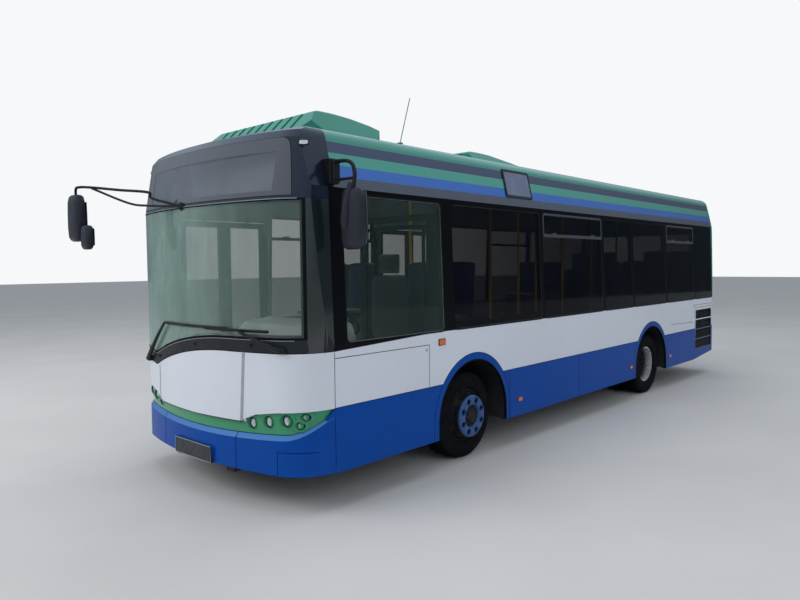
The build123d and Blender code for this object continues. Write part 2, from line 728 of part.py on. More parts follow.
def rear_rim(side):
    h = tyre_width / 2 - 34
    r = rim_radius - 4.3
    half = twin_pitch / 2
    points = [
        (-half - h, r), (half + h, r), (half + h, r - 16), (half - h - 10, r - 22), (14, 190), (14, 95),
        (60, 88), (60, 0), (-14, 0), (-14, 190), (-half + h, r - 22), (-half - h, r - 16),
    ]
    body = punch(spin(make_face(Polyline(*points, close=True)), 0, 0), 0)
    if side < 0:
        body = mirror(body, about=Plane.YZ)
    return Pos(side * (rear_tyre_x - half), axle_rear_y, 0) * body


for tag, side in (("left", 1), ("right", -1)):
    save(f"tyre_front_{tag}", spin(tyre_profile(), side * front_tyre_x, axle_front_y))
    save(f"rim_front_{tag}", front_rim(side))
    one = spin(tyre_profile(), side * rear_tyre_x, axle_rear_y)
    two = spin(tyre_profile(), side * (rear_tyre_x - twin_pitch), axle_rear_y)
    save(f"tyres_rear_{tag}", Compound(children=one.solids() + two.solids()))
    save(f"rims_rear_{tag}", rear_rim(side))
    pivot = post_z(side * kingpin_x, axle_front_y, eye_low_z + eye_half + seat_gap,
                   eye_top_z - eye_half - seat_gap, 40)
    spindle_x = front_tyre_x + tyre_width / 2 + 24 - seat_gap
    spindle = tube_x(side * kingpin_x, side * spindle_x, axle_front_y, hub_z, 34)
    drum = tube_x(side * (kingpin_x + 46), side * (kingpin_x + 150), axle_front_y, hub_z, 150)
    save(f"knuckle_{tag}", pivot + spindle + drum)

print("doors")
leaf_outer_x = -(half_width - leaf_recess)
leaf_inner_x = leaf_outer_x + leaf_thick
leaf_mid_x = leaf_outer_x + leaf_thick / 2
post_x = leaf_mid_x + post_offset
leaf_top_z = door_top_z - seam
arm_low_z = leaf_bottom_z - 6 - arm_thick
arm_top_z = leaf_top_z + 6
for name, start, end in door_table:
    jamb_a = axle_front_y + start
    jamb_b = axle_front_y + end
    leaf_long = (jamb_b - jamb_a - 2 * door_gap - leaf_gap) / 2
    for tag, sign, jamb in (("a", 1, jamb_a), ("b", -1, jamb_b)):
        near_y = jamb + sign * door_gap
        far_y = near_y + sign * leaf_long
        pivot_y = near_y + sign * leaf_long / 2
        post_y = near_y - sign * post_reach
        leaf = span(leaf_outer_x, leaf_inner_x, near_y, far_y, leaf_bottom_z, leaf_top_z)
        pane_y0 = min(near_y, far_y) + leaf_frame
        pane_y1 = max(near_y, far_y) - leaf_frame
        pane_z0 = leaf_bottom_z + 2 * leaf_frame
        pane_z1 = leaf_top_z - leaf_frame
        leaf = leaf - span(leaf_outer_x - 5, leaf_inner_x + 5, pane_y0, pane_y1, pane_z0, pane_z1)
        for z0, z1 in ((leaf_bottom_z, leaf_bottom_z + 24), (leaf_top_z - 24, leaf_top_z)):
            leaf = leaf + span(leaf_inner_x - 1, post_x, pivot_y - 14, pivot_y + 14, z0, z1)
            leaf = leaf + post_z(post_x, pivot_y, z0, z1, eye_radius)
        leaf = leaf + post_z(post_x, pivot_y, arm_low_z, leaf_bottom_z + 1, pin_radius)
        leaf = leaf + post_z(post_x, pivot_y, leaf_top_z - 1, arm_top_z + arm_thick, pin_radius)
        save(f"{name}_leaf_{tag}", leaf)
        pane = span(leaf_mid_x - glass / 2, leaf_mid_x + glass / 2, pane_y0 + seat_gap, pane_y1 - seat_gap,
                    pane_z0 + seat_gap, pane_z1 - seat_gap)
        save(f"{name}_glass_{tag}", pane)
        post = post_z(post_x, post_y, floor_z + seat_gap, door_top_z + 55, post_radius)
        for z0 in (arm_low_z, arm_top_z):
            arm = span(post_x - arm_half, post_x + arm_half, post_y, pivot_y, z0, z0 + arm_thick)
            arm = arm + post_z(post_x, pivot_y, z0, z0 + arm_thick, eye_radius)
            arm = arm + post_z(post_x, post_y, z0, z0 + arm_thick, boss_radius)
            arm = arm - post_z(post_x, pivot_y, z0 - 1, z0 + arm_thick + 1, pin_radius + seat_gap)
            post = post + arm
        save(f"{name}_post_{tag}", post)
        print(name, tag, "post", round(post_x, 1), round(post_y, 1), "pivot", round(pivot_y, 1))

print("roof units")


def hood(half, side_slope, profile, corner, y0, y1):
    """Shell on the roof: profile (y from the front axle, z) cut by a tapered section and a rounded plan."""
    top_z = max(z for y, z in profile)
    points = [(axle_front_y + y, z) for y, z in profile]
    body = along_x(make_face(Polyline(*points, close=True)), -half, half)
    low_z = min(z for y, z in profile)
    taper = [(-half, low_z), (-half, unit_base_z + 30), (-half + side_slope, top_z + 5),
             (half - side_slope, top_z + 5), (half, unit_base_z + 30), (half, low_z)]
    taper_face = make_face(Polyline(*taper, close=True))
    taper_face = fillet([v for v in taper_face.vertices() if v.Y > top_z], side_slope * 0.45)
    body = body & along_y(taper_face, axle_front_y + y0 - 50, axle_front_y + y1 + 50)
    outline = RectangleRounded(half * 2, y1 - y0, corner)
    return body & extrude(Pos(0, axle_front_y + (y0 + y1) / 2, low_z) * outline, amount=600, dir=(0, 0, 1))


unit_base_z = roof_z - 75
ac_half = shoulder_x - 222
ac_height = 172.0
ac_start = -1660.0
ac_end = -690.0
ac_profile = [
    (ac_start, unit_base_z), (ac_start + 20, roof_z - 15), (ac_start + 195, roof_z + ac_height - 16),
    (ac_start + 245, roof_z + ac_height - 3), (ac_start + 380, roof_z + ac_height),
    (-1060.0, roof_z + ac_height - 24), (-870.0, roof_z + ac_height - 56), (-755.0, roof_z + 82),
    (ac_end - 14, roof_z + 34), (ac_end, unit_base_z),
]
roof_ac = hood(ac_half, 170.0, ac_profile, 300.0, ac_start, ac_end)
# Grooves that run up the hood's front slope
groove_count = 9
groove_pitch = 135.0
ramp_rise = math.degrees(math.atan2(ac_height + 1, 175))
for i in range(groove_count):
    groove_x = (i - (groove_count - 1) / 2) * groove_pitch
    roof_ac = roof_ac - (Pos(groove_x, axle_front_y + ac_start + 108, roof_z + ac_height / 2 - 13)
                         * Rot(ramp_rise, 0, 0) * Box(46, 300, 22))
roof_ac = roof_ac - outer
save("roof_ac", roof_ac)

unit_half = shoulder_x - 352
unit_profile = [
    (720.0, unit_base_z), (732.0, roof_z + 88), (800.0, roof_z + 112), (960.0, roof_z + 118),
    (1150.0, roof_z + 108), (1520.0, roof_z + 56), (1830.0, roof_z + 2), (1835.0, unit_base_z),
]
unit = hood(unit_half, 150.0, unit_profile, 180.0, 720.0, 1835.0)
intake = span(-unit_half * 0.72, unit_half * 0.72, axle_front_y + 700, axle_front_y + 850,
              roof_z + 22, roof_z + 82)
unit = (unit - intake) - outer
roof_hatch = span(-380, 380, axle_front_y + wheelbase - 680, axle_front_y + wheelbase + 80,
                  roof_z - 100, roof_z + 32) - outer
antenna_x = shoulder_x - 302
antenna_y = axle_front_y - 520
antenna_base = post_z(antenna_x, antenna_y, roof_z - 60, roof_z + 10, 26) - outer
antenna_rod = Pos(antenna_x, antenna_y, roof_z + 5) * Rot(-18, 0, 0) * Pos(0, 0, 225) * Cylinder(4, 450)
save("roof_fittings", Compound(
    children=unit.solids() + roof_hatch.solids() + (antenna_base + antenna_rod).solids()))

# Side sign on the cove, measured back from the front axle
sign_start = 630.0
sign_end = 1117.0
sign_z0 = cove_z + 87
sign_z1 = roof_z - 144
sign_thick = 8.0
sign_band = envelope(-sign_thick, 0, skirt_z) - outer
save("side_sign", sign_band & span(0, far, axle_front_y + sign_start, axle_front_y + sign_end,
                                   sign_z0, sign_z1))

print("mirrors and wipers")


def tube_path(points, radius, bend):
    """A bent round tube through the points."""
    path = FilletPolyline(*points, radius=bend)
    return sweep(Plane(origin=path @ 0, z_dir=path % 0) * Circle(radius), path=path)


mirror_y = axle_front_y - 1735
head_left = fillet((Pos(half_width + 200, mirror_y, 2175) * Box(215, 95, 440)).edges(), 38)
bracket_left = span(half_width - 120, half_width + 20, mirror_y - 45, mirror_y + 55, 2436, 2628)
bracket_left = fillet(bracket_left.edges().filter_by(Axis.Y), 18)
loop_left = tube_path([
    (half_width - 60, mirror_y, 2598), (half_width + 208, mirror_y, 2592), (half_width + 222, mirror_y, 2370),
], 16, 80)
strut_left = tube_x(half_width - 60, half_width + 215, mirror_y, 2466, 11)
mirror_left = (head_left + bracket_left + loop_left + strut_left) - outer

root_x = -0.088 * half_width
root_y = front_y + 2
root_z = cap_bottom_z + 4
head_x = half_width + 135
head_y = front_y - mirror_lead + 60
head_right = fillet((Pos(-head_x, head_y, 2290) * Box(225, 108, 425)).edges(), 38)
small_right = fillet((Pos(-head_x + 185, head_y + 10, 2110) * Box(150, 80, 215)).edges(), 28)
link_right = tube_x(-head_x + 60, -head_x + 160, head_y + 10, 2170, 14)
arm_top = tube_path([
    (root_x, root_y, root_z), (-0.37 * half_width, front_y - 75, 2420), (-0.40 * half_width, front_y - 88, 2470),
    (-half_width + 55, front_y - 275, 2552), (-head_x, head_y, 2560), (-head_x, head_y, 2440),
], 12, 30)
arm_low = tube_path([
    (root_x, root_y, root_z), (-0.394 * half_width, front_y - 92, 2358), (-0.58 * half_width, front_y - 160, 2392),
    (-half_width + 55, front_y - 274, 2545),
], 10, 60)
foot_right = Pos(root_x, front_y - 10, root_z) * Rot(90, 0, 0) * Cylinder(34, 34)
mirror_right = (head_right + small_right + link_right + arm_top + arm_low + foot_right) - outer
save("mirrors", Compound(children=mirror_left.solids() + mirror_right.solids()))

# Wipers on the glass: pivot, tip of the arm, blade from x to x at a height;
# x as a share of the half width, z from the belt
wiper_table = [
    (-0.738, -235.0, -0.361, 112.0, -0.374, 0.395, 120.0),
    (0.834, -22.0, 0.493, 118.0, 0.179, 0.742, 112.0),
]
blade_gap = 3.0
arm_gap = 24.0
arm_reach = 46.0
blade_band = envelope(-arm_gap - 2, 0, skirt_z) - envelope(-blade_gap, 0, skirt_z)
arm_band = envelope(-arm_reach, 0, skirt_z) - envelope(-arm_gap, 0, skirt_z)
pivot_band = envelope(-arm_reach, 0, skirt_z) - outer
wiper_list = []
for pivot_share, pivot_rise, tip_share, tip_rise, blade_from, blade_to, blade_rise in wiper_table:
    px = pivot_share * half_width
    pz = belt_z + pivot_rise
    bz = belt_z + blade_rise
    run = Vector(tip_share * half_width - px, 0, belt_z + tip_rise - pz)
    slab = Plane(origin=(px, front_y, pz), z_dir=run) * Pos(0, 0, run.length / 2) * Box(18, 700, run.length + 18)
    blade = blade_band & span(blade_from * half_width, blade_to * half_width, -far * 2, front_seam_y, bz - 10, bz + 10)
    arm = arm_band & slab & span(-far, far, -far * 2, front_seam_y, 0, far)
    pivot = (Pos(px, front_y, pz) * Rot(90, 0, 0) * Cylinder(26, 700)) & pivot_band
    wiper_list.extend((blade + arm + pivot).solids())
save("wipers", Compound(children=wiper_list))

print("inside")
inside_x = half_width - wall - 45
dash_y0 = front_y + 150
dash_y1 = front_y + dash_end
dash_top_z = belt_z + 165
dash_pts = [
    (dash_y1, floor_z), (dash_y1, belt_z - 10), (dash_y1 - 60, dash_top_z - 20), (dash_y1 - 200, dash_top_z),
    (dash_y0 + 200, dash_top_z - 25), (dash_y0, belt_z - 60), (dash_y0 + 150, floor_z),
]
dash_face = make_face(Polyline(*dash_pts, close=True))
dash_face = fillet([v for v in dash_face.vertices() if v.Y > belt_z - 20], 45)
dash = along_x(dash_face, 230, inside_x)
shelf = span(-inside_x, 240, dash_y0, front_y + 310, belt_z - 420, belt_z - 160)
clear_inside = envelope(wall + 12, roof_wall + 12, skirt_z)
dash = (dash + shelf) & clear_inside
seat_x = half_width - 490
wheel_lean = (0, 0.62, 0.78)
wheel_plane = Plane(origin=(seat_x, dash_y1 + 120, dash_top_z - 10), z_dir=wheel_lean)
column = wheel_plane * Pos(0, 0, -170) * Cylinder(38, 340)
wheel_ring = wheel_plane * Torus(225, 14)
spoke = wheel_plane * Box(440, 40, 16)
save("dashboard", dash + column + spoke + wheel_ring)

seat_y = axle_front_y - 870
driver_seat = fillet(span(seat_x - 240, seat_x + 240, seat_y - 240, seat_y + 230, cab_floor_z + 430,
                          cab_floor_z + 530).edges(), 30)
driver_seat = driver_seat + fillet(span(seat_x - 235, seat_x + 235, seat_y + 175, seat_y + 285,
                                        cab_floor_z + 500, cab_floor_z + 1130).edges(), 35)
driver_seat = driver_seat + fillet(span(seat_x - 130, seat_x + 130, seat_y + 190, seat_y + 270,
                                        cab_floor_z + 1120, cab_floor_z + 1310).edges(), 30)
driver_seat = driver_seat + span(seat_x - 110, seat_x + 110, seat_y - 120, seat_y + 120,
                                 cab_floor_z + seat_gap, cab_floor_z + 440)
save("driver_seat", driver_seat)

partition_y = axle_front_y - 440
partition = span(150, half_width - 80, partition_y - 20, partition_y + 20, floor_z + seat_gap, roof_z - 640)
partition = partition - span(230, half_width - 200, partition_y - 30, partition_y + 30, 1560, roof_z - 700)
partition = partition - housing(1, axle_front_y, seat_gap)
partition = partition & inner
save("partition", partition)

# Seat rows: place measured back from the front axle, height of what they stand on, side
housing_top_z = arch_z + arch_radius + housing_wall
seat_rows = [
    (-60.0, housing_top_z, 1), (-60.0, housing_top_z, -1), (900.0, floor_z, 1), (1650.0, floor_z, 1),
    (2400.0, floor_z, 1), (wheelbase - 60, housing_top_z, 1), (wheelbase - 60, housing_top_z, -1),
    (wheelbase + 780, rear_floor_z, 1), (wheelbase + 780, rear_floor_z, -1),
    (wheelbase + 1800, engine_floor_z, 1), (wheelbase + 1800, engine_floor_z, -1),
]
aisle_half = 240.0
cushion_z = 330.0
back_top = 900.0
seat_list = []
for place, base_z, side in seat_rows:
    x0 = side * aisle_half
    x1 = side * inside_x
    xm = (x0 + x1) / 2
    y = axle_front_y + place
    cushion = span(x0, x1, y - 210, y + 200, base_z + cushion_z, base_z + cushion_z + 75)
    back = span(x0, x1, y + 165, y + 225, base_z + cushion_z + 60, base_z + back_top)
    back = fillet(back.edges().filter_by(Axis.Y).sort_by(Axis.Z)[-2:], 60)
    back = back - span(xm - 12, xm + 12, y + 100, y + 300, base_z + cushion_z + 160, base_z + back_top + 20)
    leg = span(xm - 150, xm + 150, y - 120, y + 120, base_z + seat_gap, base_z + cushion_z)
    seat_list.extend((cushion + back + leg).solids())
save("passenger_seats", Compound(children=seat_list))

# Grab poles: place measured back from the front axle, floor there
pole_table = [
    (700.0, floor_z), (2300.0, floor_z), (wheelbase - 750, rear_floor_z), (wheelbase + 1000, rear_floor_z),
]
pole_x = aisle_half - 25
pole_top_z = roof_z - 80
rail_list = []
for side in (-1, 1):
    for place, base_z in pole_table:
        rail_list.append(post_z(side * pole_x, axle_front_y + place, base_z + seat_gap, pole_top_z, 16))
save("handrails", Compound(children=rail_list))

hopper_list = []
for side, windows in ((1, left_windows), (-1, right_windows)):
    for start, end, light in windows:
        if light is None:
            continue
        y0 = axle_front_y + start + window_rebate + 2
        y1 = axle_front_y + end - window_rebate - 2
        lean = (light - belt_z) / (cove_z - belt_z) * (half_width - cove_x)
        x_at = half_width - lean - glass
        hopper_list.append(span(side * (x_at - 24), side * (x_at - 1.5), y0, y1, light - 14, light + 14))
save("hopper_frames", Compound(children=hopper_list))
print("done")
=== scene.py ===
import math

import bmesh
import bpy
from mathutils import Matrix, Vector


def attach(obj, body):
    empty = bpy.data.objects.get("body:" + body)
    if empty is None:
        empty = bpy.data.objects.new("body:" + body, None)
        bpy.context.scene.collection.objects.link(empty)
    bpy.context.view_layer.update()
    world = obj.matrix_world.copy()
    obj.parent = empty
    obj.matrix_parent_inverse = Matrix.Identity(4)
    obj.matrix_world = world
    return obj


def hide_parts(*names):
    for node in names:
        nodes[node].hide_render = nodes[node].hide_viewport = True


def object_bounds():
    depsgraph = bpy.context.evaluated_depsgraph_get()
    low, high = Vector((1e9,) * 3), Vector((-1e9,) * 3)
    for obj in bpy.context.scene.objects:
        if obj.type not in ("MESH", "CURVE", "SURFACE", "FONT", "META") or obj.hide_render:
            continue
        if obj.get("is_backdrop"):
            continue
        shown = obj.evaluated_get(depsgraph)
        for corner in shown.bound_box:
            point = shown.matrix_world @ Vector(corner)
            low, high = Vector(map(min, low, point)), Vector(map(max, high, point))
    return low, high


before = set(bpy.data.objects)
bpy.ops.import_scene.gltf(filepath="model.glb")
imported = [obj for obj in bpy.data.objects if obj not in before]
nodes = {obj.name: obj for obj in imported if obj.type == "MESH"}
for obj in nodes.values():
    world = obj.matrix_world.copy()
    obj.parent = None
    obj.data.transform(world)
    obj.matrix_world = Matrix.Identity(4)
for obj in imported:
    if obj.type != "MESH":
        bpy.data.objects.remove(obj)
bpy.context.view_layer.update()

# Places in metres, in the frame of the part
AXLE_FRONT = -2.1075
AXLE_REAR = 2.0925
FRONT = -4.3335
REAR = 4.7275
HALF = 1.200
HUB = 0.410
PAINT_SPLIT = 0.784
BELT = 1.250
COVE = 2.425
COVE_X = 1.155


def srgb(r, g, b):
    """A colour written as 0 to 255, made linear."""
    def lin(v):
        v = v / 255
        return v / 12.92 if v <= 0.04045 else ((v + 0.055) / 1.055) ** 2.4
    return (lin(r), lin(g), lin(b), 1.0)


class Nodes:
    """A tree of nodes. Its methods add nodes and return sockets to link on."""

    def __init__(self, tree):
        self.tree = tree

    def add(self, kind):
        return self.tree.nodes.new(kind)

    def link(self, a, b):
        self.tree.links.new(a, b)

    def feed(self, value, socket):
        if isinstance(value, bpy.types.NodeSocket):
            self.link(value, socket)
        else:
            socket.default_value = value

    def math(self, kind, a, b=0.0, clamp=False):
        node = self.add("ShaderNodeMath")
        node.operation = kind
        node.use_clamp = clamp
        self.feed(a, node.inputs[0])
        self.feed(b, node.inputs[1])
        return node.outputs[0]

    def ramp(self, value, low, high, to_low=0.0, to_high=1.0, smooth=True):
        node = self.add("ShaderNodeMapRange")
        node.interpolation_type = "SMOOTHSTEP" if smooth else "LINEAR"
        self.feed(value, node.inputs["Value"])
        node.inputs["From Min"].default_value = low
        node.inputs["From Max"].default_value = high
        node.inputs["To Min"].default_value = to_low
        node.inputs["To Max"].default_value = to_high
        return node.outputs["Result"]


class Surface(Nodes):
    """A material made of nodes."""

    def __init__(self, name):
        self.material = bpy.data.materials.new(name)
        self.material.use_nodes = True
        super().__init__(self.material.node_tree)
        self.shader = self.tree.nodes["Principled BSDF"]
        self.place = self.add("ShaderNodeTexCoord").outputs["Object"]
        split = self.add("ShaderNodeSeparateXYZ")
        self.link(self.place, split.inputs[0])
        self.x, self.y, self.z = split.outputs

    def stretch(self, sx, sy, sz):
        node = self.add("ShaderNodeMapping")
        self.link(self.place, node.inputs["Vector"])
        node.inputs["Scale"].default_value = (sx, sy, sz)
        return node.outputs[0]

    def noise(self, scale, detail=4.0, rough=0.55, at=None):
        node = self.add("ShaderNodeTexNoise")
        self.link(at if at is not None else self.place, node.inputs["Vector"])
        node.inputs["Scale"].default_value = scale
        node.inputs["Detail"].default_value = detail
        node.inputs["Roughness"].default_value = rough
        return node.outputs["Fac"]

    def cells(self, scale, kind="F1", at=None):
        node = self.add("ShaderNodeTexVoronoi")
        node.feature = kind
        self.link(at if at is not None else self.place, node.inputs["Vector"])
        node.inputs["Scale"].default_value = scale
        return node.outputs["Distance"]

    def wave(self, scale, axis="X", distortion=0.0, at=None):
        node = self.add("ShaderNodeTexWave")
        node.bands_direction = axis
        self.link(at if at is not None else self.place, node.inputs["Vector"])
        node.inputs["Scale"].default_value = scale
        node.inputs["Distortion"].default_value = distortion
        return node.outputs["Fac"]

    def mix(self, share, a, b, kind="MIX"):
        node = self.add("ShaderNodeMix")
        node.data_type = "RGBA"
        node.blend_type = kind
        self.feed(share, node.inputs["Factor"])
        self.feed(a, node.inputs[6])
        self.feed(b, node.inputs[7])
        return node.outputs[2]

    def bands(self, value, steps):
        """Steps of colour along a value: (where it starts, colour), from low to high."""
        base = steps[0][1]
        for start, colour in steps[1:]:
            base = self.mix(self.math("GREATER_THAN", value, start), base, colour)
        return base

    def bump(self, height, strength, distance, onto=None):
        node = self.add("ShaderNodeBump")
        node.inputs["Strength"].default_value = strength
        node.inputs["Distance"].default_value = distance
        self.link(height, node.inputs["Height"])
        if onto is not None:
            self.link(onto, node.inputs["Normal"])
        return node.outputs["Normal"]

    def soft_edges(self, radius):
        node = self.add("ShaderNodeBevel")
        node.samples = 4
        node.inputs["Radius"].default_value = radius
        return node.outputs["Normal"]

    def set(self, **values):
        names = {
            "colour": "Base Color", "rough": "Roughness", "metal": "Metallic", "normal": "Normal",
            "coat": "Coat Weight", "coat_rough": "Coat Roughness", "ior": "IOR", "alpha": "Alpha",
            "spec": "Specular IOR Level", "sheen": "Sheen Weight", "sheen_rough": "Sheen Roughness",
        }
        for key, value in values.items():
            self.feed(value, self.shader.inputs[names[key]])
        return self


WHITE = srgb(218, 225, 236)
BLUE = srgb(0, 72, 162)
GREEN = srgb(28, 134, 114)
GREEN_LIGHT = srgb(56, 154, 136)
STRIPE_BLUE = srgb(10, 96, 190)
NAVY = srgb(24, 44, 84)
STRIPE_GREY = srgb(58, 64, 80)
BLACK = srgb(14, 16, 20)
DUST = srgb(120, 116, 108)


def paint(name, colour=None, steps=None, rough=0.30, coat=0.18, dust=0.12, wave=0.30, edge=0.0025, spec=0.3,
          dip=None, ior=1.5):
    """Gloss paint with faint waves in the panels, a film of road dust low down and fine scratches."""
    s = Surface(name)
    base = s.bands(s.z, steps) if steps else colour
    if dip:
        level = s.ramp(s.y, dip[0], dip[1], dip[2], dip[3], smooth=False)
        base = s.bands(s.math("SUBTRACT", s.z, level), [(0.0, WHITE), (0.0, BLACK)])
    cloud = s.noise(1.3, 5, 0.6)
    shaded = s.mix(1.0, base, (0.55, 0.56, 0.58, 1), "MULTIPLY")
    base = s.mix(s.ramp(cloud, 0.3, 0.75, 0.0, 0.10), base, shaded)
    streaks = s.noise(1.0, 6, 0.7, s.stretch(9, 9, 0.7))
    low = s.ramp(s.math("ADD", s.z, s.ramp(streaks, 0.2, 0.8, -0.28, 0.28)), 0.25, 1.0, 1.0, 0.0)
    film = s.math("MULTIPLY", low, s.ramp(s.noise(5, 6, 0.65), 0.25, 0.8, 0.2, 1.0))
    film = s.math("MULTIPLY", film, dust, clamp=True)
    run = s.math("MULTIPLY", s.ramp(streaks, 0.56, 0.8), 0.16 * dust)
    film = s.math("ADD", film, run, clamp=True)
    base = s.mix(s.math("MULTIPLY", film, 0.42), base, DUST)
    scratch = s.noise(1.0, 8, 0.7, s.stretch(3, 3, 90))
    gloss = s.math("ADD", rough, s.math("MULTIPLY", film, 0.4))
    gloss = s.math("ADD", gloss, s.ramp(scratch, 0.55, 0.8, 0.0, 0.10), clamp=True)
    normal = s.bump(s.noise(2.2, 2, 0.4), wave, 0.012, s.soft_edges(edge))
    normal = s.bump(s.noise(420, 2, 0.5), 0.05, 0.0004, normal)
    s.set(colour=base, rough=gloss, normal=normal, coat=coat, coat_rough=0.06, spec=spec, ior=ior)
    return s.material


def plastic(name, colour, rough=0.5, grain=600, depth=0.25, worn=None, edge=0.0015, dust=0.25, spec=0.35):
    """Moulded plastic: fine grain, paler scuffs and dust low down."""
    s = Surface(name)
    patch = s.noise(3.5, 6, 0.65)
    base = s.mix(s.ramp(patch, 0.35, 0.75, 0.0, 0.5), colour, worn or s_scale(colour, 1.6))
    low = s.ramp(s.math("ADD", s.z, s.ramp(patch, 0.2, 0.8, -0.2, 0.2)), 0.2, 0.9, 1.0, 0.0)
    base = s.mix(s.math("MULTIPLY", low, dust * 0.5), base, DUST)
    gloss = s.ramp(s.noise(9, 5, 0.6), 0.3, 0.75, rough - 0.08, rough + 0.12)
    normal = s.bump(s.cells(grain), depth, 0.0004, s.soft_edges(edge))
    s.set(colour=base, rough=gloss, normal=normal, spec=spec)
    return s.material


def s_scale(colour, k):
    """A colour made lighter or darker."""
    return tuple(min(1.0, c * k) for c in colour[:3]) + (1.0,)


def rubber(name, colour=(0.007, 0.0078, 0.0095, 1), rough=0.72, dust=0.12):
    """Dull rubber with paler patches and specks of dust."""
    s = Surface(name)
    patch = s.noise(7, 7, 0.7)
    base = s.mix(s.ramp(patch, 0.4, 0.8, 0.0, 0.6), colour, s_scale(colour, 2.2))
    base = s.mix(s.ramp(s.noise(24, 6, 0.7), 0.52, 0.8, 0.0, dust * 0.6), base, srgb(92, 88, 82))
    gloss = s.ramp(s.noise(30, 4, 0.6), 0.3, 0.7, rough - 0.1, rough + 0.2)
    s.set(colour=base, rough=gloss, spec=0.18, ior=1.2, normal=s.bump(s.noise(260, 4, 0.6), 0.3, 0.0006))
    return s.material


def metal(name, colour, rough=0.35, rust=0.0, rust_at=0.55, edge=0.001, bare=0.9, deep=None):
    """Bare or painted steel, partly rusted. Painted shade darkens it where |x| is under the deep places."""
    s = Surface(name)
    patch = s.noise(14, 8, 0.7)
    base = s.mix(s.ramp(s.noise(5, 5, 0.6), 0.3, 0.75, 0.0, 0.45), colour, s_scale(colour, 0.6))
    gloss = s.ramp(s.noise(40, 5, 0.6), 0.3, 0.75, rough - 0.08, rough + 0.15)
    normal = s.bump(s.noise(300, 3, 0.5), 0.1, 0.0004, s.soft_edges(edge))
    shine = bare
    # Painted shade: inward of deep[0] in |x| the colour falls to 6%, for the shade deep inside a wheel's
    # barrel
    if deep:
        unshaded = s.ramp(s.math("ABSOLUTE", s.x), deep[0], deep[1])
        base = s.mix(unshaded, s_scale(colour, 0.06), base)
    if rust:
        mask = s.ramp(patch, rust_at - 0.5 * rust, rust_at + 0.16 - 0.4 * rust)
        tone = s.mix(s.ramp(s.noise(60, 6, 0.7), 0.3, 0.7), srgb(34, 20, 14), srgb(78, 44, 28))
        base = s.mix(mask, base, tone)
        gloss = s.math("MAXIMUM", gloss, s.math("MULTIPLY", mask, 0.85))
        normal = s.bump(s.math("MULTIPLY", mask, s.noise(120, 6, 0.7)), 0.6, 0.0012, normal)
        shine = s.ramp(mask, 0.0, 0.6, bare, 0.05)
    s.set(colour=base, rough=gloss, normal=normal, metal=shine)
    return s.material


def pane(name, colour, see_through, ior=1.45, rough=0.03, coat=0.0):
    """Glass: clear where looked at straight, closing to a mirror at a flat angle."""
    s = Surface(name)
    facing = s.add("ShaderNodeLayerWeight")
    facing.inputs["Blend"].default_value = 0.5
    closing = s.ramp(facing.outputs["Facing"], 0.15, 1.0, 1.0 - see_through, 1.0)
    rays = s.add("ShaderNodeLightPath").outputs
    indirect = s.math("MAXIMUM", rays["Is Shadow Ray"], rays["Is Diffuse Ray"])
    closing = s.math("MULTIPLY", closing, s.ramp(indirect, 0.0, 1.0, 1.0, 0.12, smooth=False))
    film = s.noise(4, 6, 0.7, s.stretch(2, 2, 0.6))
    s.set(colour=s.mix(s.ramp(film, 0.4, 0.8, 0.0, 0.35), colour, s_scale(colour, 2.2)),
          rough=s.ramp(film, 0.35, 0.85, rough, rough + 0.06),
          alpha=closing, normal=s.bump(s.noise(1.6, 2, 0.4), 0.05, 0.01))
    s.set(ior=ior, coat=coat, coat_rough=0.02)
    return s.material


def cloth(name, colour, fleck, thread=900):
    """Woven seat cloth with small flecks and a soft sheen."""
    s = Surface(name)
    weave = s.math("MULTIPLY", s.wave(thread, "X"), s.wave(thread, "Z"))
    spots = s.ramp(s.cells(70), 0.10, 0.16, 1.0, 0.0)
    base = s.mix(s.ramp(s.noise(9, 5, 0.6), 0.3, 0.7, 0.0, 0.4), colour, s_scale(colour, 0.6))
    base = s.mix(s.math("MULTIPLY", spots, 0.7), base, fleck)
    s.set(colour=base, rough=0.9, sheen=0.35, sheen_rough=0.5,
          normal=s.bump(s.math("ADD", weave, s.noise(160, 3, 0.5)), 0.5, 0.0008))
    return s.material


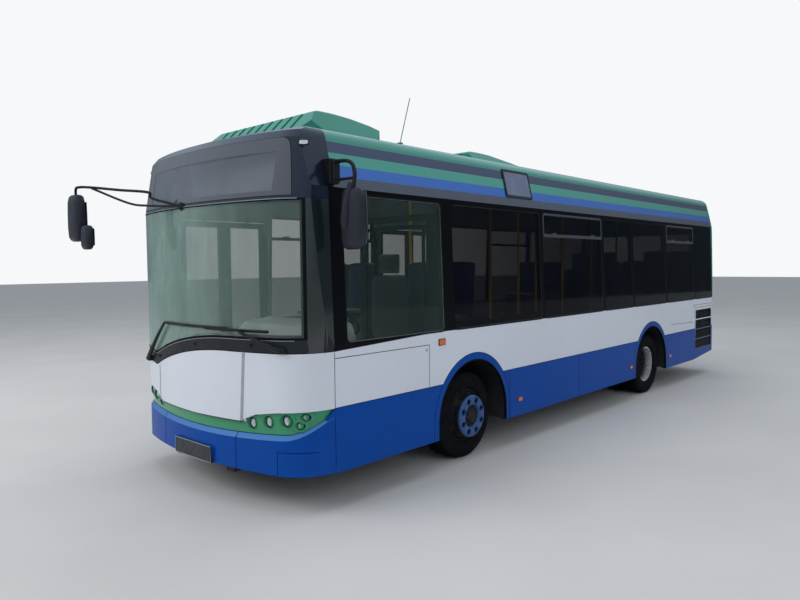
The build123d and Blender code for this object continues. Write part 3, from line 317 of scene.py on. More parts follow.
# Stripes of the roof side, from the cove up
STRIPES = [(0.0, STRIPE_GREY), (2.507, STRIPE_BLUE), (2.597, GREEN_LIGHT), (2.688, NAVY), (2.773, GREEN)]
look = {
    "side": paint("paint_side", spec=0.3, coat=0.05, ior=1.18, dip=(-3.863, -2.700, 1.204, BELT + 0.0015)),
    "blue": paint("paint_blue", BLUE, dust=0.05, spec=0.3, coat=0.10, ior=1.18),
    # The bumper's upward ledge: a lighter blue that is a painted highlight, the sky's shine on it
    "ledge_highlight": paint("paint_blue_ledge_highlight", srgb(34, 112, 192), dust=0.03, rough=0.12, coat=1.0),
    "roof": paint("paint_roof", steps=STRIPES, dust=0.10, rough=0.25, coat=0.7, spec=0.5),
    "rear": paint("paint_rear", steps=[(0.0, BLUE), (PAINT_SPLIT, WHITE), (BELT, GREEN)]),
    "white": paint("paint_white", WHITE, dust=0.15, wave=0.2),
    "strip": paint("paint_strip", srgb(62, 148, 108), dust=0.08, rough=0.20, coat=0.4, spec=0.3, ior=1.3),
    "unit": paint("paint_unit", srgb(30, 130, 108), dust=0.2, rough=0.38, coat=0.2),
    "cap": paint("paint_cap", srgb(20, 30, 50), dust=0.05, rough=0.2, coat=0.35, wave=0.2),
    "border": paint("display_border", srgb(74, 76, 82), dust=0.03, rough=0.12, coat=1.0, wave=0.2),
    "gloss_black": paint("paint_black", BLACK, dust=0.1, rough=0.2, coat=0.5),
    "bar_blue": paint("grille_bar_blue", srgb(52, 84, 130), dust=0.2, rough=0.4),
    "cowl": plastic("cowl_plastic", srgb(26, 28, 33), 0.55),
    "trim": plastic("trim_black", srgb(16, 17, 20), 0.5),
    "mirror": plastic("mirror_plastic", srgb(34, 37, 45), 0.42, grain=900, depth=0.35),
    "inner": plastic("lining_grey", srgb(118, 122, 126), 0.6, grain=300),
    "dash": plastic("dash_plastic", srgb(128, 138, 138), 0.55, grain=420),
    "partition": plastic("partition_plastic", srgb(44, 47, 52), 0.5),
    "floor": plastic("floor_vinyl", srgb(70, 74, 80), 0.7, grain=180),
    "chassis": plastic("chassis_black", srgb(14, 16, 22), 0.7, grain=140, depth=0.4, dust=0.25),
    "engine": metal("engine_iron", srgb(62, 62, 62), 0.6, rust=0.10),
    "steel": metal("door_steel", srgb(128, 130, 134), 0.35),
    "rail": paint("rail_yellow", srgb(222, 176, 30), dust=0.1, rough=0.35, edge=0.001),
    "rim_front": metal("rim_front_worn", srgb(16, 18, 26), 0.6, rust=0.10, bare=0.2),
    "rim_ring": paint("rim_ring_paint", srgb(32, 80, 138), dust=0.2, rough=0.35, coat=0.3, edge=0.004),
    # The rear rims get painted shade inward of |x| 0.985, for the shade deep in their barrels
    "rim_rear": metal("rim_rear_silver", srgb(226, 230, 236), 0.25, bare=0.35, deep=(0.985, 1.075)),
    "rim_dish": metal("rim_rear_dish", srgb(46, 48, 53), 0.45, bare=0.2),
    "tyre": rubber("tyre_rubber"),
    "side_glass": pane("glass_tinted", srgb(6, 9, 16), 0.50, ior=1.22),
    "cab_glass": pane("glass_cab", srgb(44, 62, 58), 0.82, ior=1.5),
    "pillar_glass": paint("pillar_black_glass", srgb(26, 36, 38), dust=0.03, rough=0.08, coat=1.0, spec=0.5,
                          wave=0.15),
    "screen": pane("glass_screen", srgb(122, 150, 142), 0.86, ior=1.9),
    "display_glass": pane("glass_display", srgb(88, 94, 104), 0.65, ior=1.8),
    "seat": cloth("seat_cloth_blue", srgb(40, 52, 92), srgb(150, 120, 60)),
}


def polished(name, colour, grain, low, high, share=1.0):
    """Bright metal, its roughness between two values."""
    s = Surface(name)
    s.set(colour=colour, rough=s.ramp(s.noise(grain, 3, 0.5), 0.3, 0.7, low, high), metal=share)
    return s.material


# More finishes, for the added pieces
look["chrome"] = polished("chrome_bowl", srgb(225, 228, 232), 60, 0.06, 0.14)
look["chrome_soft"] = polished("chrome_satin", srgb(176, 180, 186), 40, 0.28, 0.4, 0.8)
look["mirror_face"] = polished("mirror_face", srgb(150, 158, 165), 30, 0.02, 0.06)
look["lens_clear"] = pane("lens_clear", srgb(210, 220, 225), 0.8)
look["seal_grey"] = plastic("seal_grey", srgb(150, 158, 166), 0.5, grain=500)
look["rubber_trim"] = rubber("rubber_trim", srgb(18, 19, 21), 0.5, 0.15)
s = Surface("plate_blank")
s.set(colour=s.mix(s.ramp(s.noise(18, 5, 0.6), 0.35, 0.75, 0.0, 0.4), srgb(26, 30, 38), srgb(62, 66, 74)),
      rough=s.ramp(s.noise(30, 4, 0.6), 0.3, 0.7, 0.3, 0.5), normal=s.bump(s.noise(90, 3, 0.5), 0.2, 0.0006))
look["plate"] = s.material
s = Surface("display_board")
dots = s.cells(110)
shade = s.ramp(s.x, -0.36, -0.30, 0.0, 1.0)
base = s.mix(shade, srgb(120, 124, 132), srgb(142, 150, 160))
base = s.mix(s.ramp(dots, 0.12, 0.3, 0.5, 0.0), base, srgb(168, 174, 180))
s.set(colour=base, rough=0.45, normal=s.bump(dots, 0.3, 0.001))
look["display_board"] = s.material


def lens(name, colour):
    """Ribbed lamp lens with a soft shine."""
    s = Surface(name)
    ribs = s.math("ADD", s.wave(55, "X"), s.wave(55, "Z"))
    s.set(colour=s.mix(s.ramp(s.noise(30, 4, 0.6), 0.3, 0.8, 0.0, 0.4), colour, s_scale(colour, 0.6)),
          rough=s.ramp(s.noise(50, 3, 0.5), 0.3, 0.7, 0.10, 0.22), coat=0.6, normal=s.bump(ribs, 0.4, 0.0008))
    return s.material


look["lens_red"] = lens("lens_red", srgb(176, 20, 18))
look["lens_amber"] = lens("lens_amber", srgb(220, 108, 22))
look["lens_white"] = lens("lens_white", srgb(214, 218, 222))
look["frame_grey"] = plastic("window_frame_grey", srgb(62, 66, 74), 0.45, grain=700)
look["sign_screen"] = plastic("sign_screen", srgb(104, 114, 140), 0.25, grain=300)
look["frame_black_paint"] = plastic("cab_frame_black", srgb(12, 13, 16), 0.4, grain=500)
look["board_dark"] = plastic("board_edge", srgb(72, 78, 86), 0.4, grain=500)
look["seat_shell"] = plastic("seat_shell", srgb(58, 62, 72), 0.5, grain=500)
look["seat_dark"] = cloth("seat_cloth_dark", srgb(30, 32, 40), srgb(70, 74, 90))


def dress(node, *keys, choose=None):
    """Give a CAD node its materials; choose(centre, normal) picks one of them for each face."""
    mesh = nodes[node].data
    mesh.materials.clear()
    for key in keys:
        mesh.materials.append(look[key])
    for face in mesh.polygons:
        face.material_index = choose(face.center, face.normal) if choose else 0


def outer_x(z):
    """Half width of the body at a height."""
    if z <= BELT:
        return HALF
    if z <= COVE:
        return HALF - (z - BELT) / (COVE - BELT) * (HALF - COVE_X)
    return COVE_X - (z - COVE) / 0.445 * 0.103


def outside(centre, normal):
    """0 on the outer skin, 1 on the inner one."""
    if abs(centre.x) > outer_x(centre.z) - 0.004:
        return 0
    if centre.z > 2.86 and normal.z > 0.3:
        return 0
    if centre.y > REAR - 0.004 or (centre.y < -3.0 and normal.y < -0.25):
        return 0
    if normal.z > 0.5 and centre.z > 2.75:
        return 0
    return 1


def wall_face(centre, normal):
    """Skin, lining, or the black reveal of a window."""
    if abs(normal.x) < 0.6 and centre.z > BELT - 0.02 and abs(centre.x) > outer_x(centre.z) - 0.06:
        return 2
    return outside(centre, normal)


def bumper_face(centre, normal):
    """Paint, the black recess of the plate, or the upward ledge on top, painted lighter blue as a highlight.
    """
    if abs(centre.x) < 0.272 and centre.y < FRONT - 0.001:
        return 1
    return 2 if 0.3 < normal.z < 0.9 and centre.z > 0.5 else 0


def ring_face(centre, normal):
    """1 on the painted ring of a front rim, 0 elsewhere."""
    reach = math.hypot(centre.y - AXLE_FRONT, centre.z - HUB)
    return 1 if abs(centre.x) > 1.150 and 0.099 < reach < 0.2 else 0


for node in ("wall_left", "wall_right"):
    dress(node, "side", "inner", "gloss_black", choose=wall_face)
for node in ("skirts", "arch_panels"):
    dress(node, "blue", "chassis", choose=outside)
dress("roof", "roof", "inner", choose=lambda c, n: 0 if outside(c, n) == 0 or n.z > 0.2 else 1)
dress("front_cap", "cap", "inner", choose=lambda c, n: 0 if n.y < 0.2 or c.z > 2.88 else 1)
dress("front_frame", "cowl", "pillar_glass", choose=lambda c, n: 1 if abs(c.x) > 1.135 and c.z > 1.30 else 0)
dress("front_bumper", "blue", "trim", "ledge_highlight", choose=bumper_face)
dress("side_grille", "trim", "side", "bar_blue",
      choose=lambda c, n: 0 if n.x < 0.9 or c.x < HALF - 0.0035 else (1 if c.z > PAINT_SPLIT else 2))
WHEEL_CENTRE = Vector((0.710, FRONT + 0.920, 1.405))
dress("dashboard", "dash", "trim", choose=lambda c, n: 1 if (c - WHEEL_CENTRE).length < 0.262 else 0)
dress("side_glass", "side_glass", "cab_glass",
      choose=lambda c, n: 1 if c.x > 0 and c.y < AXLE_FRONT - 0.425 else 0)
# Nodes with one look
ONE_LOOK = {
    "white": ["front_panel"], "strip": ["lamp_strip"], "blue": ["rear_bumper"], "floor": ["floor"],
    "rear": ["rear_wall", "engine_hatch"], "unit": ["roof_ac", "roof_fittings"], "gloss_black": ["side_sign"],
    "mirror": ["mirrors"], "trim": ["wipers", "hopper_frames"], "seat": ["driver_seat", "passenger_seats"],
    "partition": ["partition"],
    "rail": ["handrails", "marker_lamps"], "chassis": ["underframe", "axles", "wheel_housings"],
    "engine": ["engine_block"], "side_glass": ["headlamps", "rear_window"], "screen": ["windscreen"],
    "display_glass": ["display_glass"],
}
for key, names in ONE_LOOK.items():
    for node in names:
        dress(node, key)
for side in ("left", "right"):
    dress(f"knuckle_{side}", "chassis")
    dress(f"rim_front_{side}", "rim_front", "rim_ring", choose=ring_face)
    dress(f"rims_rear_{side}", "rim_rear", "rim_dish",
          choose=lambda c, n: 1 if math.hypot(c.y - AXLE_REAR, c.z - HUB) < 0.182 else 0)
    dress(f"tyre_front_{side}", "tyre")
    dress(f"tyres_rear_{side}", "tyre")
for door in ("front_door", "mid_door"):
    for leaf in "ab":
        dress(f"{door}_leaf_{leaf}", "gloss_black")
        dress(f"{door}_post_{leaf}", "steel")
        dress(f"{door}_glass_{leaf}", "side_glass")


def turn(count, start=0.0):
    """Cosine and sine of even steps round a circle."""
    angles = [2 * math.pi * (k + start) / count for k in range(count)]
    return [(math.cos(a), math.sin(a)) for a in angles]


class Shape:
    """Vertices and faces gathered for one piece."""

    def __init__(self):
        self.verts = []
        self.faces = []

    def add(self, verts, faces):
        n = len(self.verts)
        self.verts += [tuple(v) for v in verts]
        self.faces += [tuple(i + n for i in face) for face in faces]
        return self

    def box(self, x0, x1, y0, y1, z0, z1):
        corners = [(x, y, z) for x in sorted((x0, x1)) for y in sorted((y0, y1)) for z in sorted((z0, z1))]
        sides = [(0, 1, 3, 2), (4, 6, 7, 5), (0, 4, 5, 1), (2, 3, 7, 6), (0, 2, 6, 4), (1, 5, 7, 3)]
        return self.add(corners, sides)

    def rings(self, rings, closed=True, caps=(False, False)):
        """Skin over a list of rings of points."""
        n = len(rings[0])
        verts = [p for ring in rings for p in ring]
        faces = []
        for i in range(len(rings) - 1):
            for k in range(n if closed else n - 1):
                a, b = i * n + k, i * n + (k + 1) % n
                faces.append((a, b, b + n, a + n))
        if caps[0]:
            faces.append(tuple(reversed(range(n))))
        if caps[1]:
            faces.append(tuple(range(len(verts) - n, len(verts))))
        return self.add(verts, faces)

    def lathe(self, profile, centre, axis="X", steps=48, sign=1, notch=None):
        """Turn a profile (along, radius) about an axis through the centre."""
        rings = []
        for i, (along, radius) in enumerate(profile):
            ring = []
            for k, (c, d) in enumerate(turn(steps)):
                r = radius - (notch(i, k) if notch else 0)
                c, d = r * c, r * d
                at = {"X": (sign * along, c, d), "Y": (d, sign * along, c), "Z": (c, d, sign * along)}[axis]
                ring.append(Vector(centre) + Vector(at))
            rings.append(ring)
        return self.rings(rings)

    def tube(self, points, radius, sides=12, ends=True):
        """Round tube through points; radius is one number or one for each point."""
        points = [Vector(p) for p in points]
        radii = radius if isinstance(radius, (list, tuple)) else [radius] * len(points)
        rings = []
        side = None
        for i, p in enumerate(points):
            ahead = points[min(i + 1, len(points) - 1)] - points[max(i - 1, 0)]
            ahead.normalize()
            if side is None:
                side = ahead.orthogonal().normalized()
            side = (side - ahead * side.dot(ahead)).normalized()
            other = ahead.cross(side)
            rings.append([p + radii[i] * (c * side + d * other) for c, d in turn(sides)])
        return self.rings(rings, caps=(ends, ends))


def smooth_path(points, steps=8):
    """More points on a smooth line through the given ones."""
    points = [Vector(p) for p in points]
    full = [2 * points[0] - points[1]] + points + [2 * points[-1] - points[-2]]
    out = []
    for i in range(1, len(full) - 2):
        a, b, c, d = full[i - 1:i + 3]
        for k in range(steps):
            t = k / steps
            out.append(0.5 * (2 * b + (c - a) * t + (2 * a - 5 * b + 4 * c - d) * t * t
                              + (3 * b - a - 3 * c + d) * t ** 3))
    return out + [points[-1]]


def piece(name, shape, key, body="body", bevel=0.0, smooth=35, instead=()):
    """Make the piece, finish it and let it ride on its body."""
    mesh = bpy.data.meshes.new(name)
    mesh.from_pydata(shape.verts, [], shape.faces)
    work = bmesh.new()
    work.from_mesh(mesh)
    bmesh.ops.remove_doubles(work, verts=work.verts, dist=1e-5)
    bmesh.ops.recalc_face_normals(work, faces=work.faces)
    work.to_mesh(mesh)
    work.free()
    obj = bpy.data.objects.new(name, mesh)
    bpy.context.scene.collection.objects.link(obj)
    mesh.materials.append(look[key])
    mesh.shade_smooth()
    mesh.set_sharp_from_angle(angle=math.radians(smooth))
    if bevel:
        rounding = obj.modifiers.new("edges", "BEVEL")
        rounding.width = bevel
        rounding.segments = 3
        rounding.limit_method = "ANGLE"
        rounding.harden_normals = True
    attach(obj, body)
    if instead:
        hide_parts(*instead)
    return obj


# Surfaces of the body to lay things on: a place on them, and how far out of them
SEAM_Y = -3.8629
BOW_X = 0.9332
BOW_R = 3.6044
CORNER = 0.360
# How far the shell has leaned inward at a height: (height, at the front, at the rear)
LEAN = [(2.330, 0.0, 0.0), (2.775, 0.080, 0.025), (2.835, 0.132, 0.040),
        (2.868, 0.225, 0.070), (2.898, 0.400, 0.160), (2.960, 0.760, 0.420)]


def lean(z, column):
    """A column of LEAN at a height: 1 at the front, 2 at the rear."""
    for low_row, high_row in zip(LEAN, LEAN[1:]):
        if z <= high_row[0]:
            share = max(0.0, (z - low_row[0]) / (high_row[0] - low_row[0]))
            return low_row[column] + share * (high_row[column] - low_row[column])
    return LEAN[-1][column]


def skin_y(x, z):
    """Where the front's outer skin is."""
    a = abs(x)
    if a <= BOW_X:
        y = FRONT + BOW_R - math.sqrt(BOW_R ** 2 - a * a)
    else:
        y = SEAM_Y - math.sqrt(max(CORNER ** 2 - (min(a, HALF) - HALF + CORNER) ** 2, 0))
    return y + lean(z, 1)


def on_front(u, v, out=0.0):
    """A point of the front: u is x, v is z."""
    step = 0.002
    slope = (skin_y(u + step, v) - skin_y(u - step, v)) / (2 * step)
    slope = max(-6.0, min(6.0, slope))
    away = Vector((slope, -1, 0)).normalized()
    return Vector((u, skin_y(u, v), v)) + away * out


def on_left(u, v, out=0.0):
    """A point of the driver's side: u is y, v is z."""
    return Vector((outer_x(v) + out, u, v))


def on_right(u, v, out=0.0):
    """A point of the kerb side: u is y, v is z."""
    return Vector((-outer_x(v) - out, u, v))


def on_rear(u, v, out=0.0):
    """A point of the rear: u is x, v is z."""
    return Vector((u, REAR - lean(v, 2) + out, v))


def divide(points, step):
    """Points no further apart than the step."""
    out = []
    for a, b in zip(points, points[1:]):
        a, b = Vector(a), Vector(b)
        count = max(1, math.ceil((b - a).length / step))
        out += [a.lerp(b, k / count) for k in range(count)]
    return out + [Vector(points[-1])]


def ribbon(shape, surface, points, section, closed=False, step=0.04):
    """Sweep a section (across, out) along a line on a surface."""
    points = [Vector(p) for p in points]
    if closed:
        points = points + [points[0]]
    dense = divide(points, step)
    if closed:
        dense = dense[:-1]
    rings = []
    n = len(dense)
    for i, p in enumerate(dense):
        before = dense[(i - 1) % n] if closed or i else p
        after = dense[(i + 1) % n] if closed or i < n - 1 else p
        d1 = (p - before).normalized() if (p - before).length > 1e-9 else (after - p).normalized()
        d2 = (after - p).normalized() if (after - p).length > 1e-9 else d1
        n1, n2 = Vector((-d1.y, d1.x)), Vector((-d2.y, d2.x))
        mitre = n1 + n2
        mitre = mitre / max(mitre.length_squared / 2, 0.3)
        rings.append([surface(p.x + mitre.x * s, p.y + mitre.y * s, o) for s, o in section])
    if closed:
        rings.append(rings[0])
    return shape.rings(rings, caps=(not closed, not closed))


def rounded(u0, u1, v0, v1, r, steps=5):
    """Corner points of a rectangle with round corners."""
    out = []
    corners = [(u1 - r, v1 - r), (u0 + r, v1 - r), (u0 + r, v0 + r), (u1 - r, v0 + r)]
    for quarter, (cu, cv) in enumerate(corners):
        for k in range(steps + 1):
            a = math.radians(90 * quarter + 90 * k / steps)
            out.append((cu + r * math.cos(a), cv + r * math.sin(a)))
    return out


def seal(width, proud, sink=0.004):
    """Section of a flat strip with soft edges."""
    w = width / 2
    return [(-w, -sink), (-w, proud * 0.4), (-w * 0.6, proud), (w * 0.6, proud), (w, proud * 0.4), (w, -sink)]


def panel(shape, surface, outline, out, sink=0.004, rows=10):
    """Thin plate with a given outline, laid on a surface: rings shrink to its middle."""
    cu = sum(p[0] for p in outline) / len(outline)
    cv = sum(p[1] for p in outline) / len(outline)
    rings = [[surface(u, v, -sink) for u, v in outline]]
    for k in range(rows):
        t = 1 - k / rows
        rings.append([surface(cu + (u - cu) * t, cv + (v - cv) * t, out) for u, v in outline])
    shape.rings(rings)
    centre = len(shape.verts)
    shape.verts.append(tuple(surface(cu, cv, out)))
    n = len(outline)
    last = centre - n
    for k in range(n):
        shape.faces.append((last + k, last + (k + 1) % n, centre))
    return shape


# Wheels: places across the bus of the single tyre, of the twin ones and of the rear hub
FRONT_WHEEL_X = 0.966
TWIN_X = (1.007, 0.707)
REAR_HUB_X = 0.857


def tyre(shape, x, y, sign):
    """Tyre with ribs, grooves, shoulder lugs and rings on the side wall."""
    half_profile = [
        (0.0, 0.410), (0.022, 0.4098), (0.0225, 0.400), (0.031, 0.400), (0.0315, 0.4095),
        (0.066, 0.4087), (0.0665, 0.399), (0.075, 0.399), (0.0755, 0.408), (0.097, 0.4068),
        (0.112, 0.4000), (0.1195, 0.3880), (0.1225, 0.3760), (0.1245, 0.3700), (0.1275, 0.3560),
        (0.1310, 0.3400), (0.1310, 0.3260), (0.1295, 0.3230), (0.1295, 0.3050), (0.1275, 0.3000),
        (0.1260, 0.2860), (0.1225, 0.2740), (0.1225, 0.2700), (0.1180, 0.2680), (0.1130, 0.2560),
        (0.1040, 0.2480), (0.0970, 0.2462),
    ]
    profile = [(-a, r) for a, r in reversed(half_profile[1:])] + half_profile
    lug_rows = {i for i, (a, r) in enumerate(profile) if 0.096 < abs(a) < 0.1230}

    def notch(i, k):
        return 0.0055 if i in lug_rows and k % 3 == 0 else 0.0

    shape.lathe(profile, (x, y, HUB), "X", 162, sign, notch)
    return shape


for tag, side in (("left", 1), ("right", -1)):
    piece(f"tyre_ribbed_front_{tag}", tyre(Shape(), side * FRONT_WHEEL_X, AXLE_FRONT, side), "tyre",
          f"wheel_front_{tag}", instead=(f"tyre_front_{tag}",), smooth=28)
    twin = Shape()
    for x in TWIN_X:
        tyre(twin, side * x, AXLE_REAR, side)
    piece(f"tyres_ribbed_rear_{tag}", twin, "tyre", f"wheels_rear_{tag}",
          instead=(f"tyres_rear_{tag}",), smooth=28)


def nut(shape, x, y, z, sign, across, deep):
    """Six-sided nut, its end a little narrower."""
    outer = []
    for k in range(6):
        a = math.radians(60 * k + 10)
        outer.append((x, y + across * math.cos(a), z + across * math.sin(a)))
    mid = [(x + sign * deep * 0.8, py, pz) for px, py, pz in outer]
    top = [(x + sign * deep, y + (py - y) * 0.82, z + (pz - z) * 0.82) for px, py, pz in outer]
    shape.rings([outer, mid, top], caps=(False, True))


# Rims: hub covers, nuts and the edges of the hand holes
HUB_PROFILE = [(0.180, 0.0975), (0.184, 0.0955), (0.184, 0.068), (0.190, 0.062), (0.199, 0.058),
               (0.203, 0.050), (0.204, 0.026), (0.2065, 0.022), (0.2065, 0.0004)]
HAND_HOLE_PROFILE = [(0.2035, 0.0335), (0.2090, 0.0318), (0.2098, 0.0290), (0.2075, 0.0264), (0.1990, 0.0262)]
REAR_HUB_PROFILE = [(0.058, 0.0870), (0.064, 0.0840), (0.0665, 0.0700), (0.0665, 0.0004)]
NUTS = 10
HAND_HOLES = 8
for tag, side in (("left", 1), ("right", -1)):
    hub = Shape()
    hub.lathe(HUB_PROFILE, (side * FRONT_WHEEL_X, AXLE_FRONT, HUB), "X", 48, side)
    for c, d in turn(NUTS):
        nut(hub, side * (FRONT_WHEEL_X + 0.184), AXLE_FRONT + 0.082 * c, HUB + 0.082 * d, side, 0.009, 0.009)
    piece(f"hub_front_{tag}", hub, "rim_front", f"wheel_front_{tag}", smooth=30)
    edges = Shape()
    for c, d in turn(HAND_HOLES, 0.5):
        at = (side * FRONT_WHEEL_X, AXLE_FRONT + 0.150 * c, HUB + 0.150 * d)
        edges.lathe(HAND_HOLE_PROFILE, at, "X", 24, side)
    piece(f"hand_hole_rims_{tag}", edges, "rim_ring", f"wheel_front_{tag}", smooth=50)
    nuts = Shape()
    for c, d in turn(NUTS):
        nut(nuts, side * (REAR_HUB_X + 0.014), AXLE_REAR + 0.128 * c, HUB + 0.128 * d, side, 0.016, 0.026)
    nuts.lathe(REAR_HUB_PROFILE, (side * REAR_HUB_X, AXLE_REAR, HUB), "X", 40, side)
    piece(f"nuts_rear_{tag}", nuts, "rim_dish", f"wheels_rear_{tag}", smooth=30)

# Lamp units: bucket, bowl, bulb and clear lens behind each hole of the strip: (x, z, radius)
LAMPS = [(0.684, 0.661, 0.046), (0.8388, 0.685, 0.046), (0.990, 0.704, 0.046), (1.0788, 0.672, 0.027),
         (1.1064, 0.734, 0.027)]
COLLAR = [(0.000, 0.016), (0.0005, 0.004), (0.004, -0.0005), (0.009, -0.0030), (0.015, -0.0022),
          (0.020, 0.0030)]
buckets, bowls, bulbs, lenses, rims, collars = (Shape() for _ in range(6))
for side in (-1, 1):
    for x, z, r in LAMPS:
        y = skin_y(x, z) + (0.041 if r > 0.04 else 0.031)
        at = (side * x, y, z)
        buckets.lathe([(-0.014, r - 0.0006), (-0.002, r - 0.003), (0.016, r - 0.004)], at, "Y", 40)
        bowls.lathe([(0.0, r - 0.004), (0.006, r - 0.008), (0.013, r * 0.62), (0.018, r * 0.35),
                     (0.020, r * 0.16), (0.012, r * 0.13), (0.010, 0.0005)], at, "Y", 40)
        bulbs.lathe([(0.004, 0.0004), (0.0045, r * 0.2), (0.008, r * 0.24), (0.016, r * 0.2)], at, "Y", 20)
        lenses.lathe([(0.004, r * 0.79), (-0.001, r * 0.72), (-0.0055, r * 0.5), (-0.0085, r * 0.25),
                      (-0.009, 0.0004)], at, "Y", 40)
        rims.lathe([(0.004, r - 0.004), (-0.003, r - 0.003), (-0.004, r - 0.006), (-0.001, r * 0.80),
                    (0.006, r * 0.78)], at, "Y", 40)
        collar = []
        for grow, out in COLLAR:
            spots = [(x + (r + grow) * c, z + (r + grow) * d) for c, d in turn(40)]
            collar.append([(side * u, skin_y(u, z) + 0.027 + out, v) for u, v in spots])
        collars.rings(collar)
piece("lamp_buckets", buckets, "strip")
piece("lamp_bowls", bowls, "chrome", instead=("headlamps",))
piece("lamp_bulbs", bulbs, "chrome")
piece("lamp_lenses", lenses, "lens_clear")
piece("lamp_rims", rims, "trim")
piece("lamp_collars", collars, "strip", smooth=60)

# Front: seams filled with grey rubber, black line over the lamp strip
fillers, joints = Shape(), Shape()
for x in (-0.6396, 0.6396):
    top = 1.20 if x > 0 else 0.978
    ribbon(fillers, on_front, [(x, 0.668 + 0.004), (x, top)], seal(0.010, 0.0004, 0.010))
    low_x, wide = (0.606, 0.030) if x > 0 else (x, 0.016)
    ribbon(joints, on_front, [(low_x, 0.675), (x, top)], seal(wide, 0.0030, 0.003))
piece("panel_fillers", fillers, "white")
piece("panel_seals", joints, "seal_grey", smooth=60)
line = Shape()
ribbon(line, on_front, [(x, 0.6655 + 0.004 * (abs(x) / 0.6)) for x in (-0.60, -0.3, 0.0, 0.3, 0.60)],
       seal(0.009, -0.001, 0.012))
piece("flap_line", line, "trim")


def strip_low(x):
    """Lower edge of the lamp strip near its end."""
    return 0.8439 - math.sqrt(0.2405 ** 2 - (x - 0.9796) ** 2)


# Ends of the lamp strip: the blue closes over them in a point at the seam
ends = Shape()
for side in (-1, 1):
    strips = []
    for k in range(11):
        t = math.radians(78 + 1.2 * k)
        x, y = HALF - CORNER + CORNER * math.sin(t), SEAM_Y - CORNER * math.cos(t)
        high = 0.725 + 0.055 * (k / 10) ** 1.3
        low = strip_low(x) - 0.040
        rise = [(low, -0.012), (low + 0.004, 0.0006), ((low + high) / 2, 0.0010), (high - 0.004, 0.0006),
                (high, -0.012)]
        strips.append([(side * (x + out * math.sin(t)), y - out * math.cos(t), z) for z, out in rise])
    ends.rings(strips, closed=False)
piece("strip_ends", ends, "blue", smooth=60)

# Number plate holder, its plate left blank
holder = Shape()
y = FRONT - 0.0165
holder.box(-0.272, 0.272, y, y + 0.010, 0.293, 0.427)
piece("plate_holder", holder, "trim", bevel=0.004)
plate = Shape()
plate.box(-0.258, 0.258, y - 0.0004, y + 0.006, 0.303, 0.418)
piece("plate_blank", plate, "plate", bevel=0.002)
plate_edge = Shape()
corners = [(-0.268, 0.297), (0.268, 0.297), (0.268, 0.423), (-0.268, 0.423), (-0.268, 0.297)]
plate_edge.tube([(x, y - 0.0005, z) for x, z in corners], 0.0032, 8)
piece("plate_holder_edge", plate_edge, "chrome_soft", smooth=60)


def dip_z(x):
    """Upper edge of the white front panel."""
    if x >= 0.5196:
        return 1.196 + (x - 0.5196) / 0.78 * 0.009
    if x <= -0.7092:
        return 0.978 + (-0.7092 - x) / 0.5904 * 0.074
    return arc_z(x)


def circle_through(p, q, r):
    """Centre and radius of the circle through three points."""
    ax, ay = p
    bx, by = q
    cx, cy = r
    d = 2 * (ax * (by - cy) + bx * (cy - ay) + cx * (ay - by))
    a, b, c = ax * ax + ay * ay, bx * bx + by * by, cx * cx + cy * cy
    ux = (a * (by - cy) + b * (cy - ay) + c * (ay - by)) / d
    uy = (a * (cx - bx) + b * (ax - cx) + c * (bx - ax)) / d
    return ux, uy, math.hypot(ax - ux, ay - uy)


ARC = circle_through((0.5196, 1.196), (-0.15, 1.136), (-0.7092, 0.978))


def arc_z(x):
    """The dip's middle stretch, an arc."""
    return ARC[1] + math.sqrt(max(ARC[2] ** 2 - (x - ARC[0]) ** 2, 0))


# Windscreen: rubber round it, bright line under it
low_line = [(-1.130 + i * 0.0565, dip_z(-1.130 + i * 0.0565) + 0.110) for i in range(41)]
loop = low_line + [(1.130, 2.322), (-1.130, 2.322)]
rubber_frame = Shape()
ribbon(rubber_frame, on_front, loop, seal(0.016, 0.0025), closed=True)
piece("screen_rubber", rubber_frame, "rubber_trim")
bright = Shape()
ribbon(bright, on_front, [(x, z - 0.013) for x, z in low_line if abs(x) < 1.12], seal(0.005, 0.0020),
       step=0.05)
piece("cowl_line", bright, "chrome_soft")
edge_line = Shape()
ribbon(edge_line, on_front, [(x, dip_z(x) + 0.003) for x in [i * 0.04 - 1.16 for i in range(59)]],
       seal(0.007, 0.0012), step=0.05)
piece("panel_edge", edge_line, "rubber_trim")

# Destination display: edge board with the lighter dotted board in front, seam round the pane
board = Shape()
board.box(-0.990, 0.990, -4.075, -4.065, 2.365, 2.752)
piece("display_edge_board", board, "board_dark")
board = Shape()
board.box(-0.800, 0.960, -4.092, -4.082, 2.375, 2.700)
piece("display_board", board, "display_board", bevel=0.002)

# Outline of its pane: the sides lean in towards the top and the upper corners are round
side_line = [(1.069, 2.3515), (1.060, 2.450), (1.042, 2.600), (1.028, 2.700), (1.018, 2.738), (1.000, 2.762),
             (0.970, 2.7720), (0.930, 2.7745)]
outer = side_line + [(u * 0.93, 2.7745) for u in (0.6, 0.2, -0.2, -0.6)]
outer += [(-u, v) for u, v in reversed(side_line)]
outer += [(u * 1.069, 2.3515) for u in (-0.75, -0.5, -0.25, 0.0, 0.25, 0.5, 0.75)]
INNER = (-0.780, 0.928, 2.388, 2.672)


def inner_point(u, v):
    """The point of the inner rectangle that faces a point of the outline."""
    mu, mv = (INNER[0] + INNER[1]) / 2, (INNER[2] + INNER[3]) / 2
    hu, hv = (INNER[1] - INNER[0]) / 2, (INNER[3] - INNER[2]) / 2
    du, dv = u - mu, (v - mv) / 0.215
    k = 1 / max(abs(du), abs(dv))
    return mu + hu * du * k, mv + hv * dv * k


